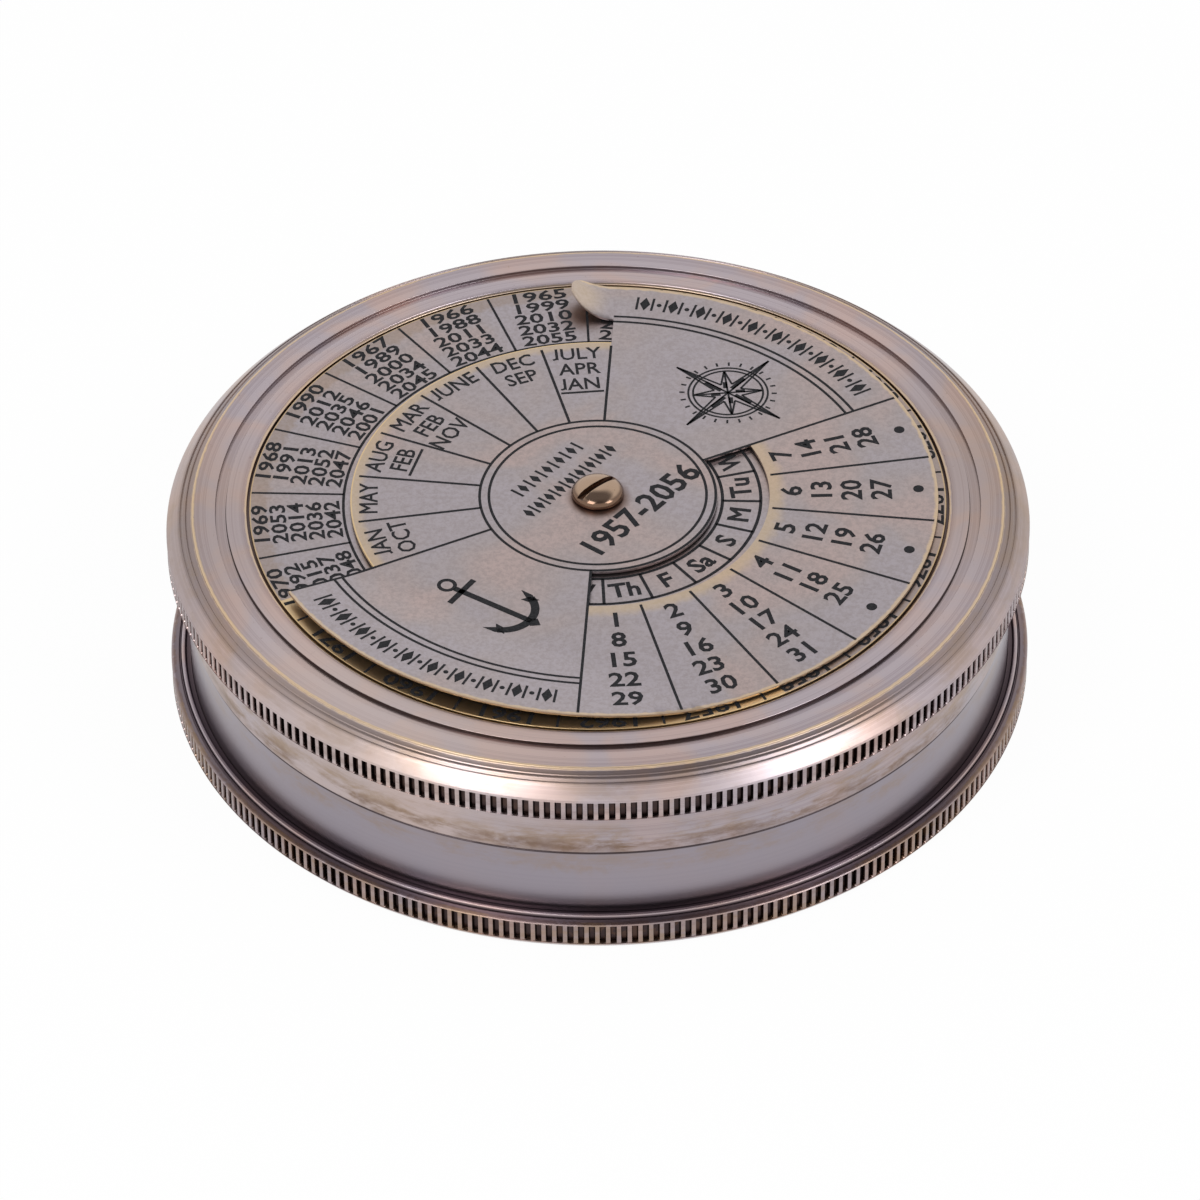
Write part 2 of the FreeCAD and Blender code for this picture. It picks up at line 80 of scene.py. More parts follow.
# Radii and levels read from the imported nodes
FLANGE_RADIUS = half_width("base_plate") - 0.015
FLANGE_KNURL_LOW = 0.7
FLANGE_KNURL_HIGH = 2.8
WALL_RADIUS = half_width("case_wall")
LID_RADIUS = half_width("lid_shell")
YEAR_DISC_RADIUS = half_width("year_disc")
CALENDAR_RADIUS = YEAR_DISC_RADIUS - 0.75
STACK_RADIUS = half_width("compass_glass")
FLOOR_TOP = bottom("case_wall")
SPIGOT_TOP = top("case_wall")
SKIRT_FOOT = bottom("lid_shell")
LID_TOP = top("lid_shell")
LID_KNURL_LOW = SKIRT_FOOT + 5.3
LID_KNURL_HIGH = LID_KNURL_LOW + 2.0
YEAR_LOW = bottom("year_disc")
YEAR_TOP = top("year_disc")
CALENDAR_LOW = bottom("calendar_disc")
CALENDAR_THICKNESS = 0.3
CALENDAR_TOP = CALENDAR_LOW + CALENDAR_THICKNESS
SEAM = SKIRT_FOOT - 0.1
WALL_THICKNESS = 2.4
SPIGOT_STEP = 1.4
THREAD_ROOM = 0.3

# Layout of the dial: 21 columns, starts of the sectors in degrees from +X towards +Y
COLUMNS = 21
PITCH = 360 / COLUMNS
MONTH_START = 86.3
MONTH_SWEEP = 7 * PITCH
PICTURE_SWEEP = 180 - MONTH_SWEEP
MONTH_END = MONTH_START + MONTH_SWEEP
DATE_START = MONTH_END + PICTURE_SWEEP
DATE_END = DATE_START + MONTH_SWEEP
YEAR_START = 91.7
WEEKDAY_START = -88.2

SCREW_HOLE = 1.56
WINDOW_INNER = 11.1
WINDOW_OUTER = 15.9
MONTH_RADIUS = 22.9
TAB_INNER = CALENDAR_RADIUS - 5.0
CREASE = CALENDAR_RADIUS * 0.68
CREASE_DIRECTION = 238.0
CREASE_ANGLE = 5.0
CREASE_STEPS = 3
CREASE_PITCH = 0.9

# Rings and rows of marks on the calendar disc
HUB_RINGS = (10.07, 10.93)
HUB_EDGE = 10.93
SPOKE_END = CALENDAR_RADIUS - 0.25
MONTH_TEXT_RADIUS = 21.2
MONTH_ROW = 2.3
DATE_TEXT_RADIUS = 17.95
DATE_ROW = 2.76
DATE_DOT_RADIUS = 29.7
PICTURE_RINGS = (26.1, 26.9)
BORDER_RADIUS = 29.1

# Rings and rows of marks on the year disc
YEAR_RING = 23.55
YEAR_TEXT_RADIUS = 31.28
YEAR_ROW = 1.68
WEEKDAY_RINGS = (11.55, 15.1)

# Names in each column of the month sector. A trailing _ marks one that is underlined for leap years
MONTHS = [
    ("JULY", "APR", "JAN_"),
    ("DEC", "SEP"),
    ("JUNE",),
    ("MAR", "FEB", "NOV"),
    ("AUG", "FEB_"),
    ("MAY",),
    ("JAN", "OCT"),
]
WEEKDAYS = ["Th", "F", "Sa", "S", "M", "Tu", "W"]

# Years of the seven columns in view, one for each weekday from Friday on
SHOWN_YEARS = [
    (1965, 1999, 2010, 2032, 2055),
    (1966, 1988, 2011, 2033, 2044),
    (1967, 1989, 2000, 2034, 2045),
    (1990, 2012, 2035, 2046, 2001),
    (1968, 1991, 2013, 2052, 2047),
    (1969, 2053, 2014, 2036, 2042),
    (1970, 1992, 2015, 2037, 2048),
]
FIRST_YEAR = 1957
LAST_YEAR = 2056
FRIDAY = 4


def length(name, note, millimetres):
    """A length that a user can set, stored in metres."""
    return FloatProperty(
        name=name, description=note, default=millimetres * MM, min=0.0, precision=5, unit="LENGTH",
    )


def colour(name, note, red, green, blue):
    """A colour that a user can set."""
    return FloatVectorProperty(
        name=name, description=note, default=(red, green, blue),
        size=3, min=0.0, max=1.0, subtype="COLOR",
    )


class CalendarSizes(bpy.types.PropertyGroup):
    """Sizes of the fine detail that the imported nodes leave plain."""

    rib_count: IntProperty(
        name="Knurl ribs", description="Straight ribs round each knurl", default=261, min=24,
    )
    knurl_depth: length("Knurl depth", "Depth of the grooves between the ribs", 0.42)
    edge_round: length("Edge rounding", "Rounding of the turned edges", 0.12)
    sheet_round: length("Sheet rounding", "Rounding of the sheet discs' edges", 0.05)
    paint: length("Fill height", "How far the black filling stands over the sheet", 0.015)
    line_width: length("Line width", "Width of the engraved lines", 0.26)
    thread_pitch: length("Thread pitch", "Rise of the lid's thread for each turn", 1.0)
    thread_depth: length("Thread depth", "Depth of the lid's thread", 0.13)
    year_text: length("Year height", "Height of the year numbers", 1.4)
    date_text: length("Date height", "Height of the date numbers", 1.85)
    month_text: length("Month height", "Height of the month names", 1.65)
    weekday_text: length("Weekday height", "Height of the weekday letters", 1.85)
    span_text: length("Span height", "Height of the numbers round the screw", 2.5)


class CalendarFinish(bpy.types.PropertyGroup):
    """Colours of the finishes, some of which are also laid as painted shade and highlight."""

    brass: colour("Antiqued brass", "Pinkish grey of the turned parts", 0.50, 0.40, 0.39)
    # Painted highlight: a lighter, warmer brass laid over the lid's front-left, where the key lamp's
    # highlight falls
    bright: colour("Bright brass", "Warmer and lighter part of the turned ring", 0.62, 0.50, 0.45)
    cool: colour("Cool patina", "Lilac cast of the patina", 0.42, 0.39, 0.45)
    warm: colour("Warm patina", "Rosy cast of the patina", 0.56, 0.40, 0.36)
    tarnish: colour("Tarnish", "Yellow brown stains", 0.30, 0.20, 0.115)
    worn: colour("Worn edge", "Bare brass where edges are rubbed", 0.80, 0.58, 0.30)
    # Dark patina for grooves, knurls and seams, also laid as painted shade in the lid's recess, on the
    # shoulder under the rim, under the calendar sheet and at the foot of the screw head
    dark: colour("Dark patina", "Black brown left in corners and grooves", 0.035, 0.022, 0.022)
    sheet: colour("Disc sheet", "Satin sheet of the two discs", 0.42, 0.365, 0.365)
    clouded: colour("Clouded sheet", "Fine dull clouds in the sheet", 0.30, 0.255, 0.25)
    # Brown for stains and pits, also laid as painted shadow under the finger tab, round the pivot screw and
    # on the screw head's rim
    shade: colour("Brown shade", "Brown left beside raised parts", 0.13, 0.07, 0.045)
    # Dark purple brown patina, also laid as painted shade and dark reflection where the wall meets the flange
    plum: colour("Plum patina", "Dark purple brown at the foot of the wall", 0.075, 0.052, 0.062)
    side: colour("Wall patina", "Lilac grey of the case wall", 0.29, 0.262, 0.30)
    fill: colour("Black filling", "Filling of the engraved marks", 0.012, 0.012, 0.014)
    bare: colour("Bare brass", "Turned brass that was never antiqued", 0.72, 0.52, 0.26)
    bronze: colour("Screw bronze", "Polished screw", 0.40, 0.28, 0.20)
    cream: colour("Dial cream", "Paint of the compass dial", 0.80, 0.76, 0.66)
    red: colour("Needle red", "Paint of the needle's north half", 0.48, 0.03, 0.025)
    blued: colour("Blued steel", "Heat blued needle", 0.05, 0.08, 0.22)


def sizes():
    return bpy.context.scene.calendar_sizes


def finish():
    return bpy.context.scene.calendar_finish


def mm(value):
    """A stored length in millimetres."""
    return value / MM


# Modelling steps, as they are made by hand
def only(*objects):
    """Leave just these objects selected, the first one active."""
    bpy.ops.object.select_all(action="DESELECT")
    for each in objects:
        each.select_set(True)
    bpy.context.view_layer.objects.active = objects[0]


def edit(obj):
    only(obj)
    bpy.ops.object.mode_set(mode="EDIT")
    bpy.ops.mesh.select_mode(type="VERT")
    bpy.ops.mesh.select_all(action="SELECT")


def leave():
    bpy.ops.object.mode_set(mode="OBJECT")


def middle(item):
    if isinstance(item, bmesh.types.BMVert):
        return item.co.copy()
    return sum((vert.co for vert in item.verts), Vector()) / len(item.verts)


def pick(kind, test):
    """Select the vertices, edges or faces in edit mode whose middle passes a test."""
    bpy.ops.mesh.select_mode(type=kind)
    bpy.ops.mesh.select_all(action="DESELECT")
    data = bpy.context.active_object.data
    mesh = bmesh.from_edit_mesh(data)
    for item in {"VERT": mesh.verts, "EDGE": mesh.edges, "FACE": mesh.faces}[kind]:
        if test(middle(item)):
            item.select_set(True)
    mesh.select_flush_mode()
    bmesh.update_edit_mesh(data)


def select_rims():
    """Select the open edges in edit mode."""
    bpy.ops.mesh.select_mode(type="EDGE")
    bpy.ops.mesh.select_all(action="DESELECT")
    bpy.ops.mesh.select_non_manifold(
        extend=False, use_wire=False, use_boundary=True, use_multi_face=False,
        use_non_contiguous=False, use_verts=False,
    )


def near(places):
    """A test for points that lie at one of these places."""
    targets = [Vector(place) for place in places]
    return lambda point: any((point - target).length < HAIR for target in targets)


def polar(point):
    """Radius and angle in degrees, from 0 to 360, of a point seen from above."""
    return math.hypot(point.x, point.y), math.degrees(math.atan2(point.y, point.x)) % 360


def at(radius, angle, height=0.0):
    turn = math.radians(angle)
    return Vector((radius * math.cos(turn), radius * math.sin(turn), height))


def within(angle, start, sweep):
    return (angle - start) % 360 < sweep


def outline(name, points):
    """Draw an open line through points, one extrusion at a time, and stay in edit mode."""
    bpy.ops.mesh.primitive_plane_add(size=1.0, location=(0, 0, 0))
    obj = bpy.context.active_object
    obj.name = name
    edit(obj)
    bpy.ops.mesh.merge(type="CENTER")
    bpy.ops.transform.translate(value=points[0])
    for before, after in zip(points, points[1:]):
        bpy.ops.mesh.extrude_vertices_move(TRANSFORM_OT_translate={"value": after - before})
    return obj


def profile(name, corners):
    """A closed outline of (radius, height) or (radius, height, rounding) corners."""
    points = [Vector((corner[0], 0.0, corner[1])) for corner in corners]
    obj = outline(name, points)
    pick("VERT", near([points[0], points[-1]]))
    bpy.ops.mesh.edge_face_add()
    roundings = [corner[2] if len(corner) > 2 else 0.0 for corner in corners]
    for rounding in sorted(set(roundings) - {0.0}):
        pick("VERT", near(point for point, own in zip(points, roundings) if own == rounding))
        bpy.ops.mesh.bevel(offset=rounding, segments=3, affect="VERTICES")
    leave()
    return obj


def spun(obj, steps, sweep=360.0, start=0.0):
    """Turn an outline about Z, close its poles and face it outwards."""
    edit(obj)
    bpy.ops.mesh.spin(steps=steps, angle=math.radians(sweep), center=(0, 0, 0), axis=(0, 0, 1))
    bpy.ops.mesh.select_all(action="SELECT")
    bpy.ops.mesh.remove_doubles(threshold=HAIR)
    if sweep < 360:
        bpy.ops.mesh.fill_holes(sides=0)
        bpy.ops.mesh.select_all(action="SELECT")
    bpy.ops.mesh.normals_make_consistent(inside=False)
    leave()
    if sweep < 360:
        obj.rotation_euler.z = math.radians(start + sweep)
        only(obj)
        bpy.ops.object.transform_apply(location=False, rotation=True, scale=False)
    return obj


def turned(name, corners, steps=180, sweep=360.0, start=0.0):
    return spun(profile(name, corners), steps, sweep, start)


def joined(name, objects):
    only(*objects)
    if len(objects) > 1:
        bpy.ops.object.join()
    obj = bpy.context.active_object
    obj.name = name
    return obj


def modified(obj, kind, **settings):
    """Add one modifier and apply it."""
    only(obj)
    bpy.ops.object.modifier_add(type=kind)
    modifier = obj.modifiers[-1]
    for key, value in settings.items():
        setattr(modifier, key, value)
    bpy.ops.object.modifier_apply(modifier=modifier.name)
    return obj


def finished(obj, body, slot, material, *nodes, smooth=30.0):
    """Bring a piece to metres at the origin, give it its finish and hang it on its body."""
    only(obj)
    obj.scale = (MM, MM, MM)
    bpy.ops.object.transform_apply(location=True, rotation=True, scale=True)
    if smooth:
        bpy.ops.object.shade_smooth_by_angle(angle=math.radians(smooth))
        modified(obj, "WEIGHTED_NORMAL", keep_sharp=True)
    obj.data.materials.clear()
    obj.data.materials.append(material)
    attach(obj, body)
    if nodes:
        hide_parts(*nodes)
    return obj


# Node trees
class Wiring:
    """A node tree that is being wired up."""

    def __init__(self, tree):
        self.tree = tree

    def feed(self, socket, value):
        if isinstance(value, bpy.types.NodeSocket):
            self.tree.links.new(value, socket)
        else:
            socket.default_value = value

    def node(self, kind, feeds=None, **settings):
        made = self.tree.nodes.new("ShaderNode" + kind)
        for key, value in settings.items():
            setattr(made, key, value)
        for key, value in (feeds or {}).items():
            self.feed(made.inputs[key], value)
        return made

    def math(self, operation, first, second=0.0, clamp=False):
        made = self.node("Math", {0: first, 1: second}, operation=operation, use_clamp=clamp)
        return made.outputs[0]

    def step(self, value, low, high):
        """0 below low and 1 above high, with a smooth rise between."""
        made = self.node("MapRange", {"Value": value, "From Min": low, "From Max": high})
        made.interpolation_type = "SMOOTHSTEP"
        return made.outputs[0]

    def threshold(self, value, limit, soft):
        """0 below a limit and 1 above it, blurred by a soft width to both sides."""
        return self.step(value, self.math("SUBTRACT", limit, soft), self.math("ADD", limit, soft))

    def mix(self, share, first, second, blend="MIX"):
        made = self.node("Mix", data_type="RGBA", blend_type=blend)
        self.feed(made.inputs[0], share)
        self.feed(made.inputs[6], first)
        self.feed(made.inputs[7], second)
        return made.outputs[2]

    def noise(self, vector, scale, detail=2.0, roughness=0.5, distortion=0.0):
        feeds = {
            "Vector": vector, "Scale": scale, "Detail": detail,
            "Roughness": roughness, "Distortion": distortion,
        }
        return self.node("TexNoise", feeds).outputs[0]

    def group(self, name, **feeds):
        made = self.tree.nodes.new("ShaderNodeGroup")
        made.node_tree = bpy.data.node_groups[name]
        for key, value in feeds.items():
            self.feed(made.inputs[key.replace("_", " ")], value)
        return made


def new_group(name, inputs, outputs):
    """An empty shader group with float or colour sockets, and the wiring to fill it."""
    tree = bpy.data.node_groups.new(name, "ShaderNodeTree")
    for label, value in inputs.items():
        kind = "NodeSocketColor" if isinstance(value, tuple) else "NodeSocketFloat"
        socket = tree.interface.new_socket(label, in_out="INPUT", socket_type=kind)
        socket.default_value = value
    for label, kind in outputs.items():
        tree.interface.new_socket(label, in_out="OUTPUT", socket_type="NodeSocket" + kind)
    source = tree.nodes.new("NodeGroupInput")
    sink = tree.nodes.new("NodeGroupOutput")
    return Wiring(tree), source.outputs, sink.inputs


def place_group():
    """Radius, height and angle of the point being shaded, in millimetres about the pivot."""
    gives = {"Radius": "Float", "Height": "Float", "Angle": "Float", "Ring": "Vector", "Spot": "Vector"}
    wiring, _, out = new_group("Place", {}, gives)
    coordinates = wiring.node("TexCoord").outputs["Object"]
    scaled = wiring.node("VectorMath", {0: coordinates, 1: (1 / MM,) * 3}, operation="MULTIPLY").outputs[0]
    parts = wiring.node("SeparateXYZ", {0: scaled}).outputs
    squares = [wiring.math("MULTIPLY", part, part) for part in parts[:2]]
    radius = wiring.math("SQRT", wiring.math("ADD", *squares))
    ring = wiring.node("CombineXYZ", {0: radius, 1: parts[2]}).outputs[0]
    angle = wiring.math("MULTIPLY", wiring.math("ARCTAN2", parts[1], parts[0]), math.degrees(1.0))
    wiring.feed(out["Radius"], radius)
    wiring.feed(out["Height"], parts[2])
    wiring.feed(out["Angle"], angle)
    wiring.feed(out["Ring"], ring)
    wiring.feed(out["Spot"], scaled)


def band_group():
    """A mask between two radii, two heights and two angles, with a ragged edge and broken into smears."""
    inputs = {
        "Inner": 0.0, "Outer": 50.0, "Low": -5.0, "High": 50.0, "Soft": 0.05, "Ragged": 0.0, "Grain": 1.2,
        "Start": 0.0, "Sweep": 400.0, "Smear": 0.0,
    }
    wiring, given, out = new_group("Band", inputs, {"Mask": "Float"})
    place = wiring.group("Place").outputs
    rough = wiring.noise(place["Spot"], given["Grain"], detail=3.0)
    shift = wiring.math("MULTIPLY", wiring.math("SUBTRACT", rough, 0.5), given["Ragged"])
    mask = None
    for value, low, high in (("Radius", "Inner", "Outer"), ("Height", "Low", "High")):
        moved = wiring.math("ADD", place[value], shift)
        rise = wiring.threshold(moved, given[low], given["Soft"])
        fall = wiring.threshold(moved, given[high], given["Soft"])
        inside = wiring.math("MULTIPLY", rise, wiring.math("SUBTRACT", 1.0, fall))
        mask = inside if mask is None else wiring.math("MULTIPLY", mask, inside)
    past = wiring.math("FLOORED_MODULO", wiring.math("SUBTRACT", place["Angle"], given["Start"]), 360.0)
    mask = wiring.math("MULTIPLY", mask, wiring.math("LESS_THAN", past, given["Sweep"]))
    flat = wiring.node("VectorMath", {0: place["Spot"], 1: (1.0, 1.0, 3.5)}, operation="MULTIPLY").outputs[0]
    smear = wiring.step(wiring.noise(flat, 0.17, detail=8.0, roughness=0.7, distortion=0.3), 0.40, 0.66)
    broken = wiring.math("MULTIPLY", wiring.math("SUBTRACT", 1.0, smear), given["Smear"])
    wiring.feed(out["Mask"], wiring.math("MULTIPLY", mask, wiring.math("SUBTRACT", 1.0, broken)))


def blot_group():
    """A soft round mask about a point seen from above."""
    wiring, given, out = new_group("Blot", {"X": 0.0, "Y": 0.0, "Size": 2.0, "Soft": 0.5}, {"Mask": "Float"})
    spot = wiring.group("Place").outputs["Spot"]
    centre = wiring.node("CombineXYZ", {0: given["X"], 1: given["Y"]}).outputs[0]
    level = wiring.node("VectorMath", {0: spot, 1: (1.0, 1.0, 0.0)}, operation="MULTIPLY").outputs[0]
    away = wiring.node("VectorMath", {0: level, 1: centre}, operation="DISTANCE").outputs["Value"]
    rise = wiring.threshold(away, given["Size"], given["Soft"])
    wiring.feed(out["Mask"], wiring.math("SUBTRACT", 1.0, rise))


def lathe_group():
    """Fine turning lines round the pivot, as a height and as light and dark streaks."""
    gives = {"Height": "Float", "Streak": "Float"}
    wiring, given, out = new_group("Turning lines", {"Fine": 9.0, "Broad": 1.1}, gives)
    place = wiring.group("Place").outputs
    fine = wiring.noise(place["Ring"], given["Fine"], detail=2.0, roughness=0.6)
    broad = wiring.noise(place["Ring"], given["Broad"], detail=3.0, roughness=0.55)
    wiring.feed(out["Height"], fine)
    streak = wiring.math("ADD", wiring.math("MULTIPLY", fine, 0.45), wiring.math("MULTIPLY", broad, 0.55))
    wiring.feed(out["Streak"], streak)


def patina_group():
    """A metal colour with cool and warm casts in large soft patches."""
    inputs = {
        "Base": (0.5, 0.4, 0.4, 1.0), "Cool": (0.4, 0.4, 0.45, 1.0), "Warm": (0.55, 0.4, 0.35, 1.0),
        "Size": 0.09, "Amount": 0.6,
    }
    wiring, given, out = new_group("Patina", inputs, {"Color": "Color"})
    spot = wiring.group("Place").outputs["Spot"]
    large = wiring.noise(spot, given["Size"], detail=3.0, distortion=0.6)
    cool = wiring.math("MULTIPLY", wiring.step(large, 0.42, 0.62), given["Amount"])
    warm = wiring.math("MULTIPLY", wiring.step(large, 0.52, 0.34), given["Amount"])
    tinted = wiring.mix(cool, given["Base"], given["Cool"])
    wiring.feed(out["Color"], wiring.mix(warm, tinted, given["Warm"]))


def speck_group():
    """Scattered specks and small blotches, as a mask."""
    wiring, given, out = new_group("Specks", {"Grain": 2.0, "Share": 0.62, "Soft": 0.06}, {"Mask": "Float"})
    spot = wiring.group("Place").outputs["Spot"]
    coarse = wiring.noise(spot, wiring.math("MULTIPLY", given["Grain"], 0.22), detail=2.0)
    small = wiring.noise(spot, given["Grain"], detail=4.0, roughness=0.65)
    mixed = wiring.math("ADD", wiring.math("MULTIPLY", small, 0.6), wiring.math("MULTIPLY", coarse, 0.4))
    full = wiring.math("ADD", given["Share"], given["Soft"])
    wiring.feed(out["Mask"], wiring.step(mixed, given["Share"], full))


def make_groups():
    place_group()
    band_group()
    blot_group()
    lathe_group()
    patina_group()
    speck_group()


def solid(value):
    """A colour with its full alpha, as a socket takes it."""
    return (*value, 1.0)


def new_material(name):
    material = bpy.data.materials.new(name)
    material.use_nodes = True
    tree = material.node_tree
    return material, Wiring(tree), tree.nodes["Principled BSDF"].inputs


def surfaced(wiring, shader, base, rough, height, strength, depth=0.01, metallic=1.0):
    """Feed a finish's colour, roughness and fine relief to its shader."""
    wiring.feed(shader["Base Color"], base)
    shader["Metallic"].default_value = metallic
    wiring.feed(shader["Roughness"], rough)
    bump = wiring.node("Bump", {"Height": height, "Strength": strength, "Distance": depth * MM})
    wiring.feed(shader["Normal"], bump.outputs[0])


def sprinkled(wiring, base, tint, grain, share, soft, strength):
    """Scatter specks of another colour over a base."""
    specks = wiring.group("Specks", Grain=grain, Share=share, Soft=soft).outputs[0]
    return wiring.mix(wiring.math("MULTIPLY", specks, strength), base, solid(tint))


def patinated(wiring, tint, size, amount):
    """A metal colour with the cool and warm casts of its patina."""
    tones = finish()
    return wiring.group(
        "Patina", Base=solid(tint), Cool=solid(tones.cool), Warm=solid(tones.warm),
        Size=size, Amount=amount,
    ).outputs[0]


def brass_bands(wiring, base, bands):
    """Lay bands or blots of another colour over a base. Each is (colour, share, its sizes)."""
    for tint, share, sizes_of_band in bands:
        mask = wiring.group("Blot" if "X" in sizes_of_band else "Band", **sizes_of_band).outputs[0]
        base = wiring.mix(wiring.math("MULTIPLY", mask, share), base, solid(tint))
    return base


def turned_brass(name, bands, rough=0.30):
    """Antiqued turned brass with its own bands of tarnish, dark filling and worn edges, and of painted shade
    and highlight.
    """
    tones = finish()
    material, wiring, shader = new_material(name)
    patina = patinated(wiring, tones.brass, 0.11, 0.55)
    lines = wiring.group("Turning lines", Fine=9.0, Broad=1.3).outputs
    darker = wiring.mix(1.0, patina, solid((0.80, 0.78, 0.79)), "MULTIPLY")
    base = wiring.mix(wiring.step(lines["Streak"], 0.56, 0.42), patina, darker)
    base = sprinkled(wiring, base, tones.tarnish, 2.6, 0.66, 0.04, 0.45)
    base = sprinkled(wiring, base, tones.shade, 6.0, 0.64, 0.03, 0.4)
    base = brass_bands(wiring, base, bands)
    roughness = wiring.math("ADD", rough - 0.08, wiring.math("MULTIPLY", lines["Streak"], 0.16))
    surfaced(wiring, shader, base, roughness, lines["Height"], 0.25, depth=0.012)
    return material


def sheet_brass(name, bands, rough=0.36):
    """Satin etched sheet with fine specks, and bare brass on its cut edges, with its bands of painted shadow
    and painted reflection.
    """
    tones = finish()
    material, wiring, shader = new_material(name)
    patina = patinated(wiring, tones.sheet, 0.07, 0.45)
    spot = wiring.group("Place").outputs["Spot"]
    grain = wiring.noise(spot, 14.0, detail=3.0, roughness=0.7)
    base = sprinkled(wiring, patina, tones.tarnish, 3.4, 0.67, 0.03, 0.45)
    cloudy = wiring.step(wiring.noise(spot, 2.6, detail=5.0, roughness=0.72), 0.62, 0.36)
    base = wiring.mix(wiring.math("MULTIPLY", cloudy, 0.5), base, solid(tones.clouded))
    base = brass_bands(wiring, base, bands)
    roughness = wiring.math("ADD", rough - 0.05, wiring.math("MULTIPLY", grain, 0.10))
    surfaced(wiring, shader, base, roughness, grain, 0.15)
    return material


def plain_metal(name, tint, rough, bands=()):
    """Turned metal that kept its colour, with fine lines and a few dull specks, and any bands laid over it,
    such as the screw head's painted shade.
    """
    material, wiring, shader = new_material(name)
    lines = wiring.group("Turning lines", Fine=6.0, Broad=1.0).outputs
    specks = wiring.group("Specks", Grain=2.0, Share=0.6, Soft=0.08).outputs[0]
    dull = wiring.mix(1.0, solid(tint), solid((0.55, 0.5, 0.45)), "MULTIPLY")
    base = wiring.mix(wiring.math("MULTIPLY", specks, 0.5), solid(tint), dull)
    base = brass_bands(wiring, base, bands)
    roughness = wiring.math("ADD", rough - 0.06, wiring.math("MULTIPLY", lines["Streak"], 0.12))
    surfaced(wiring, shader, base, roughness, lines["Height"], 0.2)
    return material


def painted(name, tint, rough, wear, shine=0.5):
    """Matt paint or filling, slightly uneven and rubbed."""
    material, wiring, shader = new_material(name)
    shader["Specular IOR Level"].default_value = shine
    spot = wiring.group("Place").outputs["Spot"]
    uneven = wiring.noise(spot, 5.0, detail=3.0)
    lighter = tuple(min(1.0, channel * 1.25 + 0.01) for channel in tint)
    base = wiring.mix(wiring.step(uneven, 0.35, 0.7), solid(tint), solid(lighter))
    base = sprinkled(wiring, base, finish().sheet, 5.0, 0.68, 0.03, wear)
    roughness = wiring.math("ADD", rough, wiring.math("MULTIPLY", uneven, 0.15))
    surfaced(wiring, shader, base, roughness, uneven, 0.1, metallic=0.0)
    return material


def clear_glass(name, tint, index):
    """Clear or ruby glass with the faintest smears."""
    material, wiring, shader = new_material(name)
    spot = wiring.group("Place").outputs["Spot"]
    smear = wiring.noise(spot, 0.35, detail=3.0)
    shader["Base Color"].default_value = solid(tint)
    shader["Transmission Weight"].default_value = 1.0
    shader["IOR"].default_value = index
    wiring.feed(shader["Roughness"], wiring.math("MULTIPLY", smear, 0.03))
    return material


FINISHES = {}


